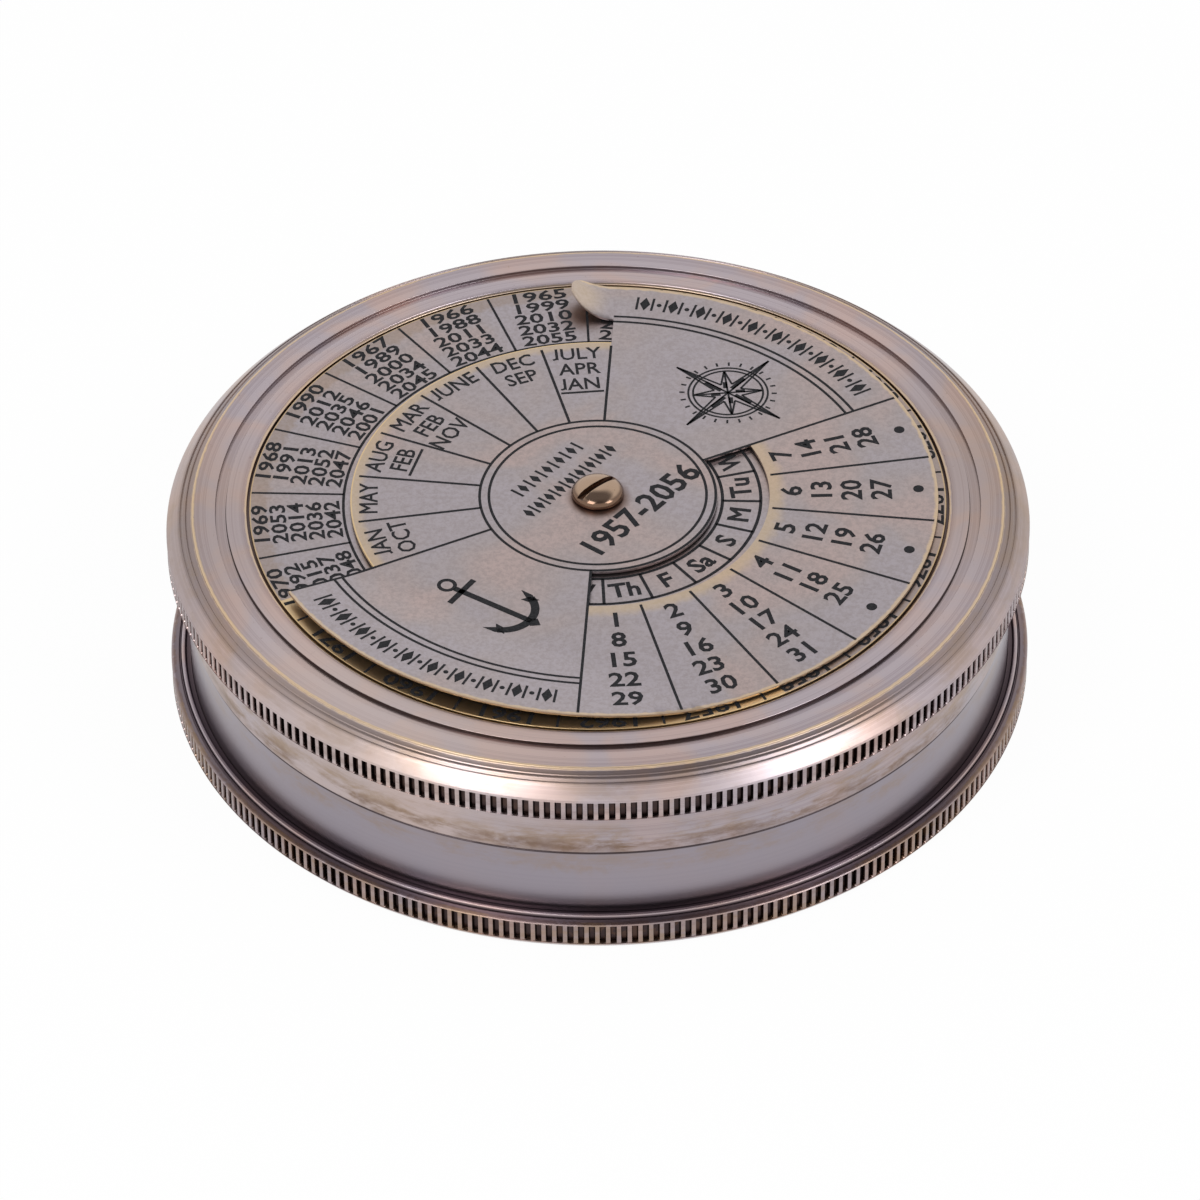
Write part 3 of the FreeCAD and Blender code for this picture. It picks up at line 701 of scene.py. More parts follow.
def make_finishes():
    """Build every material from the colours that are set."""
    tones = finish()
    knurl_low = LID_TOP - 4.0
    knurl_high = LID_TOP - 2.0
    groove = {
        "Inner": 34.3, "Outer": 34.46, "High": LID_TOP - 0.03, "Low": LID_TOP - 0.6, "Soft": 0.03,
    }
    outer_step = {
        "Inner": 35.34, "Outer": 35.5, "High": LID_TOP - 0.06, "Low": LID_TOP - 0.6, "Soft": 0.04,
    }
    skirt = {"Inner": 38.0, "Low": SKIRT_FOOT + 0.2, "High": SKIRT_FOOT + 3.2, "Soft": 1.2}
    upper_gaps = {
        "Inner": 38.0, "Outer": LID_RADIUS - 0.17, "Low": knurl_low, "High": knurl_high, "Soft": 0.06,
    }
    lower_gaps = {
        "Inner": 38.0, "Outer": FLANGE_RADIUS - 0.17,
        "Low": FLANGE_KNURL_LOW, "High": FLANGE_KNURL_HIGH, "Soft": 0.06,
    }
    flange = {"Inner": 39.9, "Low": 0.5, "High": 3.1, "Soft": 0.05}
    side = {"Inner": WALL_RADIUS - 0.4}
    FINISHES["lid"] = turned_brass("antiqued lid", [
        (tones.side, 0.4, {
            "Inner": 38.0, "Low": SKIRT_FOOT - 1, "High": SKIRT_FOOT + 5.0, "Soft": 0.6,
        }),
        (tones.tarnish, 0.35, {"X": 40.0, "Y": 4.0, "Size": 14.0, "Soft": 12.0}),
        (tones.tarnish, 0.28, {"X": -41.0, "Y": -4.0, "Size": 12.0, "Soft": 10.0}),
        # Painted highlight: lightens the lid's ring, shoulder and knurl on the front-left, towards the key
        # lamp
        (tones.bright, 0.5, {"X": -20.0, "Y": -30.0, "Size": 13.0, "Soft": 11.0}),
        (tones.worn, 0.55, {
            "Inner": 37.38, "Outer": 37.64, "Low": LID_TOP - 0.35, "Soft": 0.08, "Ragged": 0.2,
        }),
        (tones.worn, 0.4, {
            "Inner": 32.45, "Outer": 32.7, "Low": LID_TOP - 0.3, "Soft": 0.08, "Ragged": 0.3,
        }),
        # Painted reflection: darker band on the shoulder just under the rim, where it mirrors the dim
        # overhead
        (tones.dark, 0.35, {
            "Inner": 37.68, "Outer": 38.9, "Low": LID_TOP - 1.1, "Soft": 0.12, "Ragged": 0.1,
        }),
        (tones.tarnish, 0.4, {
            "Inner": 37.7, "Low": LID_TOP - 1.9, "High": LID_TOP - 0.1, "Soft": 0.3,
            "Ragged": 0.8, "Grain": 0.3, "Smear": 0.8,
        }),
        (tones.dark, 0.92, groove),
        (tones.dark, 0.35, outer_step),
        # Painted shade: darkens the wall of the recess round the two discs
        (tones.dark, 0.85, {
            "Outer": 32.9, "Low": YEAR_LOW - 0.1, "High": LID_TOP - 0.3, "Soft": 0.12,
        }),
        (tones.tarnish, 0.85, {**skirt, "Ragged": 2.0, "Grain": 0.5, "Smear": 1.0}),
        (tones.shade, 0.6, {
            **skirt, "High": SKIRT_FOOT + 1.4, "Soft": 0.6, "Ragged": 1.5, "Grain": 0.9, "Smear": 1.0,
        }),
        (tones.dark, 0.85, {
            "Inner": 38.2, "Low": SKIRT_FOOT - 0.2, "High": SKIRT_FOOT + 0.1, "Soft": 0.05,
        }),
        (tones.dark, 0.97, {**upper_gaps, "Ragged": 0.1, "Grain": 2.5}),
        (tones.shade, 0.4, {**upper_gaps, "Outer": 50.0, "Ragged": 0.3, "Smear": 1.0}),
    ])
    FINISHES["wall"] = turned_brass("antiqued wall", [
        (tones.side, 0.9, {**side, "Low": 0.0, "High": SEAM + 0.5, "Soft": 0.2}),
        (tones.tarnish, 0.45, {
            **side, "Low": SEAM - 2.0, "High": SEAM, "Soft": 0.8, "Ragged": 1.5, "Smear": 1.0,
        }),
        # Patina and painted shade: darker towards the foot of the wall, standing in for the shade at the
        # corner and the flange's dark reflection
        (tones.plum, 0.9, {**side, "Low": -4.0, "High": 4.1, "Soft": 1.8}),
        (tones.dark, 0.85, {**side, "Low": SEAM - 0.14, "High": SEAM + 1, "Soft": 0.05}),
        (tones.bare, 0.8, {
            "Outer": WALL_RADIUS - 0.9, "Low": 1.0, "High": SPIGOT_TOP + 1, "Soft": 0.2,
        }),
    ])
    FINISHES["base"] = turned_brass("antiqued base", [
        # Patina and painted dark reflection on the flange top, beside the wall and at its outer lip
        (tones.plum, 0.9, {
            "Inner": WALL_RADIUS - 0.5, "Outer": 39.55, "Low": 2.6, "High": 3.12, "Soft": 0.05,
        }),
        (tones.plum, 0.65, {"Inner": 39.5, "Outer": 40.1, "Low": 2.8, "High": 3.2, "Soft": 0.1}),
        (tones.dark, 0.97, {**lower_gaps, "Ragged": 0.1, "Grain": 2.5}),
        (tones.shade, 0.35, {**flange, "Ragged": 1.5, "Grain": 0.9}),
        (tones.tarnish, 0.6, {**flange, "Smear": 1.0}),
    ])
    FINISHES["year"] = sheet_brass("year sheet", [
        (tones.worn, 0.7, {"Inner": YEAR_DISC_RADIUS - 0.12, "Soft": 0.04, "Ragged": 0.1}),
        (tones.tarnish, 0.35, {"Inner": 30.6, "Soft": 0.4, "Ragged": 2.0}),
        # Painted reflection: golden glow on the year disc's rim strip under the bent-up flap, where light
        # bounces between the two sheets
        (tones.worn, 0.65, {"Inner": 30.4, "Soft": 0.5, "Start": 206.0, "Sweep": 95.0}),
        # Painted shadow: brown shade on the year disc under the curled finger tab
        (tones.shade, 0.8, {"X": -1.1, "Y": 27.6, "Size": 2.0, "Soft": 1.3}),
    ])
    months = {"Start": MONTH_START, "Sweep": MONTH_SWEEP}
    dates = {"Start": DATE_START, "Sweep": MONTH_SWEEP}
    FINISHES["calendar"] = sheet_brass("calendar sheet", [
        (tones.worn, 0.5, {"Inner": CALENDAR_RADIUS - 0.3, "Soft": 0.12, "Ragged": 0.5}),
        (tones.bare, 0.4, {
            **months, "Inner": MONTH_RADIUS - 1.0, "Outer": 24.0, "Soft": 0.5, "Ragged": 0.6,
        }),
        (tones.worn, 0.7, {**months, "Inner": MONTH_RADIUS - 0.14, "Outer": 24.0, "Soft": 0.05}),
        (tones.bare, 0.4, {
            **dates, "Inner": WINDOW_OUTER - 1.0, "Outer": WINDOW_OUTER + 1.2, "Soft": 0.7, "Ragged": 0.8,
        }),
        # Painted shadow: brown shade round the foot of the pivot screw
        (tones.shade, 0.7, {"X": 0.1, "Y": -0.4, "Size": 2.8, "Soft": 0.5}),
        (tones.worn, 0.3, {"X": -2.2, "Y": 29.2, "Size": 2.6, "Soft": 1.4}),
        # Painted shade: darkens the underside and lower edge of the calendar sheet, over the gap to the year
        # disc
        (tones.dark, 0.5, {"Low": CALENDAR_LOW - 0.2, "High": CALENDAR_LOW + 0.12, "Soft": 0.08}),
    ])
    FINISHES["bare"] = plain_metal("bare turned brass", tones.bare, 0.3)
    FINISHES["screw"] = plain_metal("screw bronze", tones.bronze, 0.14, [
        # Painted reflection: darkens the outer rim of the screw head, where it mirrors the dark surroundings
        (tones.shade, 0.8, {"Inner": 2.05, "Soft": 0.25, "Ragged": 0.5, "Grain": 0.5}),
        # Painted shade: darkens the foot of the screw head, where it sits on the disc
        (tones.dark, 0.85, {"High": CALENDAR_TOP + 0.78, "Soft": 0.1, "Outer": 2.2}),
    ])
    FINISHES["steel"] = plain_metal("pin steel", (0.56, 0.57, 0.58), 0.22)
    FINISHES["blued"] = plain_metal("blued steel", tones.blued, 0.25)
    FINISHES["fill"] = painted("black filling", tones.fill, 0.55, 0.12, 0.12)
    FINISHES["cream"] = painted("dial cream", tones.cream, 0.5, 0.05)
    FINISHES["red"] = painted("needle red", tones.red, 0.3, 0.02)
    FINISHES["glass"] = clear_glass("compass glass", (0.97, 1.0, 0.99), 1.5)
    FINISHES["ruby"] = clear_glass("ruby jewel", (0.7, 0.05, 0.08), 1.76)


# Knurls and threads
KNURL_ROOM = 0.04
RIB_CELLS = 7
RIB_END = 0.1
# Columns of one cell from the crest in to the groove: share of its width, share of the groove's depth
RIB_STEPS = ((0.88, -0.03), (0.6, 0.04), (0.38, 1.0))


def knurl(name, radius, low, high):
    """A closed ring of straight ribs: one rib is shaped from a grid and spun into copies."""
    count = sizes().rib_count
    depth = mm(sizes().knurl_depth)
    half_pitch = math.pi / count
    crest = radius - KNURL_ROOM
    width = 2 * crest * math.sin(half_pitch)
    reach = crest * math.cos(half_pitch)
    bpy.ops.mesh.primitive_grid_add(x_subdivisions=RIB_CELLS, y_subdivisions=3, size=2.0)
    obj = bpy.context.active_object
    obj.name = name
    obj.scale = (width / 2, (high - low) / 2, 1.0)
    obj.rotation_euler = (math.pi / 2, 0.0, 0.0)
    obj.location = (0.0, -reach, (low + high) / 2)
    only(obj)
    bpy.ops.object.transform_apply(location=True, rotation=True, scale=True)
    edit(obj)
    third = (high - low) / 3
    for level, moved in ((low + third, low + RIB_END), (high - third, high - RIB_END)):
        pick("VERT", lambda point: abs(point.z - level) < 10 * HAIR)
        bpy.ops.transform.translate(value=(0, 0, moved - level))
    column = width / RIB_CELLS
    for number, (across, drop) in enumerate(RIB_STEPS, start=1):
        before = width / 2 - column * number
        for side in (-1, 1):
            place = side * before
            pick("VERT", lambda point: abs(point.x - place) < HAIR)
            bpy.ops.transform.translate(value=(side * (across * width / 2 - before), 0, 0))
            moved = side * across * width / 2
            pick("VERT", lambda point: (
                abs(point.x - moved) < HAIR and low + RIB_END / 2 < point.z < high - RIB_END / 2
            ))
            bpy.ops.transform.translate(value=(0, drop * depth, 0))
    for level in (low, high):
        pick("EDGE", lambda point: abs(point.z - level) < HAIR)
        bpy.ops.mesh.extrude_edges_move(TRANSFORM_OT_translate={"value": (0, 1.0, 0)})
    bpy.ops.mesh.select_all(action="SELECT")
    bpy.ops.mesh.spin(steps=count, dupli=True, angle=math.tau, center=(0, 0, 0), axis=(0, 0, 1))
    bpy.ops.mesh.select_all(action="SELECT")
    bpy.ops.mesh.remove_doubles(threshold=10 * HAIR)
    select_rims()
    bpy.ops.mesh.bridge_edge_loops()
    bpy.ops.mesh.select_all(action="SELECT")
    bpy.ops.mesh.normals_make_consistent(inside=False)
    leave()
    return obj


# How deep the ridge is sunk in its wall, and half its width as a share of the pitch
THREAD_SUNK = 0.06
THREAD_HALF = 0.3


def thread(name, radius, low, turns, outward):
    """A fine helical ridge, standing out from a spigot or in from a bore."""
    pitch = mm(sizes().thread_pitch)
    side = 1 if outward else -1
    crest = radius + side * mm(sizes().thread_depth)
    root = radius - side * THREAD_SUNK
    half = pitch * THREAD_HALF
    steps = int(96 * turns)
    obj = profile(name, [(root, low - half), (crest, low), (root, low + half)])
    modified(
        obj, "SCREW", axis="Z", angle=math.tau * turns, screw_offset=pitch * turns,
        steps=steps, render_steps=steps, use_merge_vertices=True, merge_threshold=1e-5,
    )
    edit(obj)
    bpy.ops.mesh.fill_holes(sides=0)
    bpy.ops.mesh.select_all(action="SELECT")
    bpy.ops.mesh.normals_make_consistent(inside=False)
    leave()
    return obj


# Marks filled with black
def rotated(obj, angle, location):
    """Turn a mark about Z, put it in its place and apply both."""
    obj.rotation_euler.z = math.radians(angle)
    obj.location = location
    only(obj)
    bpy.ops.object.transform_apply(location=True, rotation=True, scale=True)
    return obj


def line(start, end, width, level):
    """A straight engraved line between two points seen from above."""
    start, end = Vector(start[:2]), Vector(end[:2])
    run = end - start
    thick = mm(sizes().paint)
    centre = (start + end) / 2
    bpy.ops.mesh.primitive_cube_add(size=1.0)
    obj = bpy.context.active_object
    obj.scale = (run.length, width, thick * 2)
    return rotated(obj, math.degrees(math.atan2(run.y, run.x)), (centre.x, centre.y, level))


def spoke(inner, outer, angle, level, width=None):
    """A straight engraved line that points at the pivot."""
    width = width or mm(sizes().line_width)
    return line(at(inner, angle), at(outer, angle), width, level)


def arc(radius, level, start=0.0, sweep=360.0, width=None):
    """A curved engraved line round the pivot."""
    half = (width or mm(sizes().line_width)) / 2
    thick = mm(sizes().paint)
    corners = [
        (radius - half, level - thick), (radius + half, level - thick),
        (radius + half, level + thick), (radius - half, level + thick),
    ]
    steps = max(8, int(sweep / 2.5))
    return turned("arc", corners, steps, sweep, start)


# Height of a capital in the font, and the depth and width of the J's hook, as shares of the text size
CAP_SHARE = 0.682
HOOK_DEPTH = 0.23
HOOK_WIDTH = 0.25


def label(
    text, height, radius, angle, level,
    outward=True, stretch=0.9, weight=0.012, turn=None, place=None,
):
    """A short text, centred at a place on the disc, its top facing outwards or inwards."""
    bpy.ops.object.text_add(location=(0, 0, 0))
    obj = bpy.context.active_object
    data = obj.data
    data.body = text
    data.align_x = "CENTER"
    data.resolution_u = 2
    # An offset tears the letter M, so that one is thickened as a mesh
    data.offset = 0.0 if "M" in text else weight
    data.extrude = mm(sizes().paint) * CAP_SHARE / height
    bpy.ops.object.convert(target="MESH")
    obj = bpy.context.active_object
    if "M" in text:
        deep = obj.dimensions.z
        edit(obj)
        bpy.ops.mesh.remove_doubles(threshold=HAIR)
        bpy.ops.mesh.normals_make_consistent(inside=False)
        bpy.ops.transform.shrink_fatten(value=weight, use_even_offset=True)
        bpy.ops.transform.resize(value=(1, 1, deep / (deep + 2 * weight)), center_override=(0, 0, 0))
        leave()
    if text.startswith("J"):
        left = min(vert.co.x for vert in obj.data.vertices)
        shorter = CAP_SHARE / (CAP_SHARE + HOOK_DEPTH)
        edit(obj)
        pick("VERT", lambda point: point.x < left + HOOK_WIDTH)
        bpy.ops.transform.resize(value=(1, shorter, 1), center_override=(0, CAP_SHARE, 0))
        leave()
    size = height / CAP_SHARE
    obj.scale = (size * stretch, size, size)
    facing = (angle - 90 if outward else angle + 90) if turn is None else turn
    up = Vector((-math.sin(math.radians(facing)), math.cos(math.radians(facing)), 0.0))
    centre = at(radius, angle, level) if place is None else Vector((*place, level))
    return rotated(obj, facing, centre - up * height / 2)


def underline(width, height, radius, angle, level):
    """The short line under a leap year month."""
    centre = at(radius - height * 0.78, angle)
    along = at(width / 2, angle - 90)
    return line(centre - along, centre + along, mm(sizes().line_width), level)


def dot(radius, angle, level, size):
    """A small round mark."""
    thick = mm(sizes().paint)
    bpy.ops.mesh.primitive_cylinder_add(vertices=20, radius=size, depth=thick * 2)
    return rotated(bpy.context.active_object, 0.0, at(radius, angle, level))


def lozenge(place, turn, tall, wide, level):
    """A small four pointed mark, made from a cylinder with four sides."""
    thick = mm(sizes().paint)
    bpy.ops.mesh.primitive_cylinder_add(vertices=4, radius=1.0, depth=thick * 2)
    obj = bpy.context.active_object
    obj.scale = (wide / 2, tall / 2, 1.0)
    return rotated(obj, turn, (place[0], place[1], level))


def border(radius, start, sweep, level):
    """A plain running border of lozenges, each between two bars and a dot."""
    count = 10
    marks = []
    for number in range(count):
        angle = start + sweep * (number + 0.5) / count
        marks.append(lozenge(at(radius, angle)[:2], angle - 90, 2.0, 1.0, level))
        for side in (-1, 1):
            beside = angle + side * sweep / count * 0.27
            marks.append(spoke(radius - 0.95, radius + 0.95, beside, level, 0.24))
        if number < count - 1:
            marks.append(dot(radius, angle + sweep / count / 2, level, 0.24))
    return marks


def ornament(place, turn, reach, level):
    """A short straight row of lozenges and bars."""
    along = at(1.0, turn)
    place = Vector(place)
    count = int(reach / 0.75)
    marks = []
    for number in range(-count, count + 1):
        spot = place + along * number * reach / count
        if number % 2:
            up = at(0.75, turn + 90)
            marks.append(line(spot - up, spot + up, 0.24, level))
        else:
            marks.append(lozenge(spot[:2], turn, 1.5, 0.75, level))
    return marks


def wind_star(place, turn, level):
    """A traditional eight pointed wind star in a double ring, drawn in lines."""
    centre = Vector((*place, 0.0))
    thick = mm(sizes().line_width) * 0.75
    marks = []
    for radius in (3.3, 3.75):
        ring = arc(radius, level, width=thick)
        marks.append(rotated(ring, 0.0, (centre.x, centre.y, 0.0)))
    for number in range(8):
        angle = turn + number * 45
        reach = 6.2 if number % 2 == 0 else 3.3
        waist = 1.35
        tip = centre + at(reach, angle)
        left = centre + at(waist, angle + 22.5)
        right = centre + at(waist, angle - 22.5)
        marks += [line(tip, end, thick, level) for end in (left, right, centre)]
        shade = centre + at(waist * 0.55, angle + 12)
        marks.append(line(tip * 0.35 + shade * 0.65, shade, thick * 2.2, level))
    for number in range(24):
        angle = turn + number * 15 + 7.5
        marks.append(line(centre + at(4.1, angle), centre + at(4.6, angle), thick, level))
    return marks


def anchor(place, turn, level):
    """A plain anchor: ring, stock, shank, curved arms and barbed flukes."""
    thick = mm(sizes().paint)
    low, high = level - thick, level + thick
    marks = []
    ring = turned("eye", [(0.5, low), (0.82, low), (0.82, high), (0.5, high)], 24)
    marks.append(rotated(ring, 0.0, (0, 4.5, 0)))
    marks.append(line((0, 3.75), (0, -3.7), 0.55, level))
    marks.append(line((-1.75, 3.05), (1.75, 3.05), 0.5, level))
    arms = turned("arms", [(2.35, low), (3.05, low), (3.05, high), (2.35, high)], 28, 128.0, 206.0)
    marks.append(rotated(arms, 0.0, (0, -0.85, 0)))
    for side in (-1, 1):
        tip = at(2.75, 270 + side * 66) + Vector((0, -0.85, 0))
        marks.append(lozenge(tip + at(0.1, 90), side * -18, 2.1, 0.62, level))
        marks.append(lozenge(tip + at(0.35, 270 - side * 60), side * -60, 0.7, 1.5, level))
    marks.append(lozenge((0, -3.95), 0.0, 1.3, 1.1, level))
    obj = joined("anchor", marks)
    obj.scale = (1.1, 1.13, 1.0)
    return [rotated(obj, turn, (*place, 0.0))]


def year_columns():
    """Years for the 21 columns, so that each stands in the column of its weekday class."""
    classes = [[] for _ in range(7)]
    for year in range(FIRST_YEAR, LAST_YEAR + 1):
        leap = year % 4 == 0
        weekday = datetime.date(year, 1, 1).weekday() + (1 if leap else 0)
        classes[(weekday - FRIDAY) % 7].append(year)
    columns = [list(column) for column in SHOWN_YEARS]
    for cycle in (0, 1):
        for number, shown in enumerate(SHOWN_YEARS):
            left = [year for year in classes[number] if year not in shown]
            columns.append(left[cycle::2])
    return columns


class CALENDAR_OT_base(bpy.types.Operator):
    """Turned base plate with its knurled flange and bead"""

    bl_idname = "desk_calendar.base_plate"
    bl_label = "Base plate"

    def execute(self, context):
        edge = mm(sizes().edge_round)
        outer = FLANGE_RADIUS
        wall = WALL_RADIUS + 0.05
        low, high, rim = FLANGE_KNURL_LOW, FLANGE_KNURL_HIGH, top("base_plate") - 0.3
        body = turned("base_turned", [
            (0, 0.12), (30.0, 0.12, 0.05), (30.4, 0.0, 0.1), (outer - 0.5, 0.0, edge),
            (outer, 0.62, 0.08), (outer, low), (outer - 0.62, low), (outer - 0.62, high), (outer, high),
            (outer - 0.08, high + 0.09), (outer - 0.62, rim, 0.1), (39.55, rim, 0.03),
            (39.5, rim - 0.12), (39.42, rim - 0.1), (39.3, rim + 0.24, 0.06), (39.0, rim + 0.24, 0.06),
            (38.85, rim - 0.08, 0.05), (wall, rim - 0.08), (wall, FLOOR_TOP), (0, FLOOR_TOP),
        ], sizes().rib_count)
        ribs = knurl("base_ribs", outer, low, high)
        piece = joined("base_plate_turned", [body, ribs])
        finished(piece, "case", "antique_brass", FINISHES["base"], "base_plate")
        return {"FINISHED"}


class CALENDAR_OT_wall(bpy.types.Operator):
    """Case wall with the threaded spigot"""

    bl_idname = "desk_calendar.case_wall"
    bl_label = "Case wall"

    def execute(self, context):
        bore = WALL_RADIUS - WALL_THICKNESS
        spigot = WALL_RADIUS - SPIGOT_STEP
        body = turned("wall_turned", [
            (bore, FLOOR_TOP), (WALL_RADIUS, FLOOR_TOP), (WALL_RADIUS, SEAM, 0.1), (spigot + 0.1, SEAM, 0.03),
            (spigot, SEAM + 0.15), (spigot, SPIGOT_TOP - 0.3, 0.05), (spigot - 0.3, SPIGOT_TOP, 0.1),
            (bore + 0.2, SPIGOT_TOP, 0.08), (bore, SPIGOT_TOP - 0.2, 0.05),
        ], sizes().rib_count)
        ridge = thread("spigot_thread", spigot, SEAM + 0.7, 2.1, True)
        piece = joined("case_wall_turned", [body, ridge])
        finished(piece, "case", "antique_brass", FINISHES["wall"], "case_wall")
        return {"FINISHED"}


class CALENDAR_OT_lid(bpy.types.Operator):
    """Screw lid with its knurl, turned shoulder, groove and recess"""

    bl_idname = "desk_calendar.lid"
    bl_label = "Lid"

    def execute(self, context):
        outer = LID_RADIUS
        skirt = WALL_RADIUS + 0.1
        bore = WALL_RADIUS - SPIGOT_STEP + THREAD_ROOM
        rim = outer - 2.4
        groove_out = rim - 2.2
        groove_in = groove_out - 1.0
        recess = groove_in - 1.9
        low, high = LID_KNURL_LOW, LID_KNURL_HIGH
        groove_floor = LID_TOP - 0.35
        ceiling = YEAR_LOW - 1.1
        body = turned("lid_turned", [
            (bore, SKIRT_FOOT + 0.2, 0.05), (bore + 0.2, SKIRT_FOOT, 0.05), (skirt, SKIRT_FOOT, 0.08),
            (skirt, low - 0.45, 0.3), (outer - 0.5, low - 0.08, 0.05), (outer - 0.08, low - 0.02),
            (outer, low), (outer - 0.62, low), (outer - 0.62, high), (outer, high),
            (outer - 0.1, high + 0.14, 0.05), (39.35, high + 0.72, 0.3), (38.95, high + 1.12, 0.15),
            (38.72, high + 1.3, 0.04), (38.68, high + 1.22, 0.03), (38.6, high + 1.27, 0.03),
            (38.42, high + 1.46, 0.05), (38.2, high + 1.58, 0.04), (38.14, high + 1.5, 0.03),
            (38.06, high + 1.58, 0.03), (rim + 0.02, LID_TOP - 0.2, 0.06), (rim, LID_TOP, 0.1),
            (groove_out, LID_TOP, 0.06), (groove_out, groove_floor, 0.05),
            (groove_in, groove_floor, 0.05), (groove_in, LID_TOP, 0.06),
            (recess + 0.35, LID_TOP, 0.03), (recess + 0.3, LID_TOP - 0.07, 0.03),
            (recess + 0.2, LID_TOP - 0.02, 0.04), (recess, LID_TOP - 0.12, 0.06), (recess, YEAR_LOW),
            (SCREW_HOLE, YEAR_LOW), (SCREW_HOLE, ceiling), (bore, ceiling, 0.4),
        ], sizes().rib_count)
        ribs = knurl("lid_ribs", outer, low, high)
        ridge = thread("skirt_thread", bore, SKIRT_FOOT + 0.6, 2.4, False)
        piece = joined("lid_turned_shell", [body, ribs, ridge])
        finished(piece, "lid", "antique_brass", FINISHES["lid"], "lid_shell")
        return {"FINISHED"}


class CALENDAR_OT_year_disc(bpy.types.Operator):
    """Fixed disc with the years and the weekday ring"""

    bl_idname = "desk_calendar.year_disc"
    bl_label = "Year disc"

    def execute(self, context):
        edge = mm(sizes().sheet_round)
        disc = turned("year_sheet", [
            (SCREW_HOLE, YEAR_LOW), (YEAR_DISC_RADIUS, YEAR_LOW), (YEAR_DISC_RADIUS, YEAR_TOP, edge),
            (SCREW_HOLE, YEAR_TOP),
        ], 256)
        finished(disc, "lid", "disc_brass", FINISHES["year"], "year_disc")
        marks = [arc(YEAR_RING, YEAR_TOP, width=0.26)]
        height = mm(sizes().year_text)
        for number, years in enumerate(year_columns()):
            start = YEAR_START + number * PITCH
            marks.append(spoke(YEAR_RING, YEAR_DISC_RADIUS - 0.12, start, YEAR_TOP, 0.24))
            for row, year in enumerate(years):
                marks.append(label(
                    str(year), height, YEAR_TEXT_RADIUS - row * YEAR_ROW, start + PITCH / 2, YEAR_TOP,
                    stretch=1.42 - 0.03 * row, weight=0.02,
                ))
        inner, outer = WEEKDAY_RINGS
        marks += [arc(radius, YEAR_TOP, width=0.3) for radius in WEEKDAY_RINGS]
        for number in range(COLUMNS):
            start = WEEKDAY_START + number * PITCH
            marks.append(spoke(inner, outer, start, YEAR_TOP, 0.3))
            text = WEEKDAYS[number % 7]
            narrow = 0.8 if text == "W" else 0.98
            marks.append(label(
                text, mm(sizes().weekday_text), (inner + outer) / 2 - 0.05, start + PITCH / 2,
                YEAR_TOP, outward=False, stretch=narrow, weight=0.028,
            ))
        piece = joined("year_marks", marks)
        finished(piece, "lid", "disc_brass", FINISHES["fill"], smooth=0.0)
        return {"FINISHED"}


def sheet_with_sectors():
    """Rings of faces, cut back over the month sector and opened at the weekday window."""
    steps = 720
    radii = [SCREW_HOLE, WINDOW_INNER, WINDOW_OUTER, MONTH_RADIUS, TAB_INNER, CALENDAR_RADIUS]
    bpy.ops.mesh.primitive_circle_add(vertices=steps, radius=radii[0], fill_type="NOTHING")
    obj = bpy.context.active_object
    obj.rotation_euler.z = math.radians(MONTH_START % (360 / steps))
    obj.location.z = CALENDAR_TOP
    only(obj)
    bpy.ops.object.transform_apply(location=True, rotation=True, scale=True)
    edit(obj)
    for inner, outer in zip(radii, radii[1:]):
        grow = outer / inner
        bpy.ops.mesh.extrude_edges_move()
        bpy.ops.transform.resize(value=(grow, grow, 1.0), center_override=(0, 0, CALENDAR_TOP))

    def is_open(point):
        radius, angle = polar(point)
        over_years = within(angle, MONTH_START, MONTH_SWEEP) and radius > MONTH_RADIUS
        window = within(angle, DATE_START, MONTH_SWEEP) and WINDOW_INNER < radius < WINDOW_OUTER
        return over_years or window

    pick("FACE", is_open)
    bpy.ops.mesh.delete(type="FACE")
    bpy.ops.mesh.select_all(action="SELECT")
    bpy.ops.mesh.normals_make_consistent(inside=False)
    leave()
    return obj


def bent_up(obj):
    """Tilt what lies outside the crease, in small steps, as the sheet stands clear on that side."""
    rotated(obj, -CREASE_DIRECTION, (0, 0, 0))
    edit(obj)
    for step in range(CREASE_STEPS):
        distance = CREASE + (step - 1) * CREASE_PITCH
        bpy.ops.mesh.select_all(action="SELECT")
        bpy.ops.mesh.bisect(plane_co=(distance, 0, 0), plane_no=(1, 0, 0))
        pick("VERT", lambda point: point.x > distance + HAIR)
        bpy.ops.transform.rotate(
            value=math.radians(CREASE_ANGLE / CREASE_STEPS), orient_axis="Y",
            center_override=(distance, 0, CALENDAR_LOW),
        )
    leave()
    return rotated(obj, CREASE_DIRECTION, (0, 0, 0))


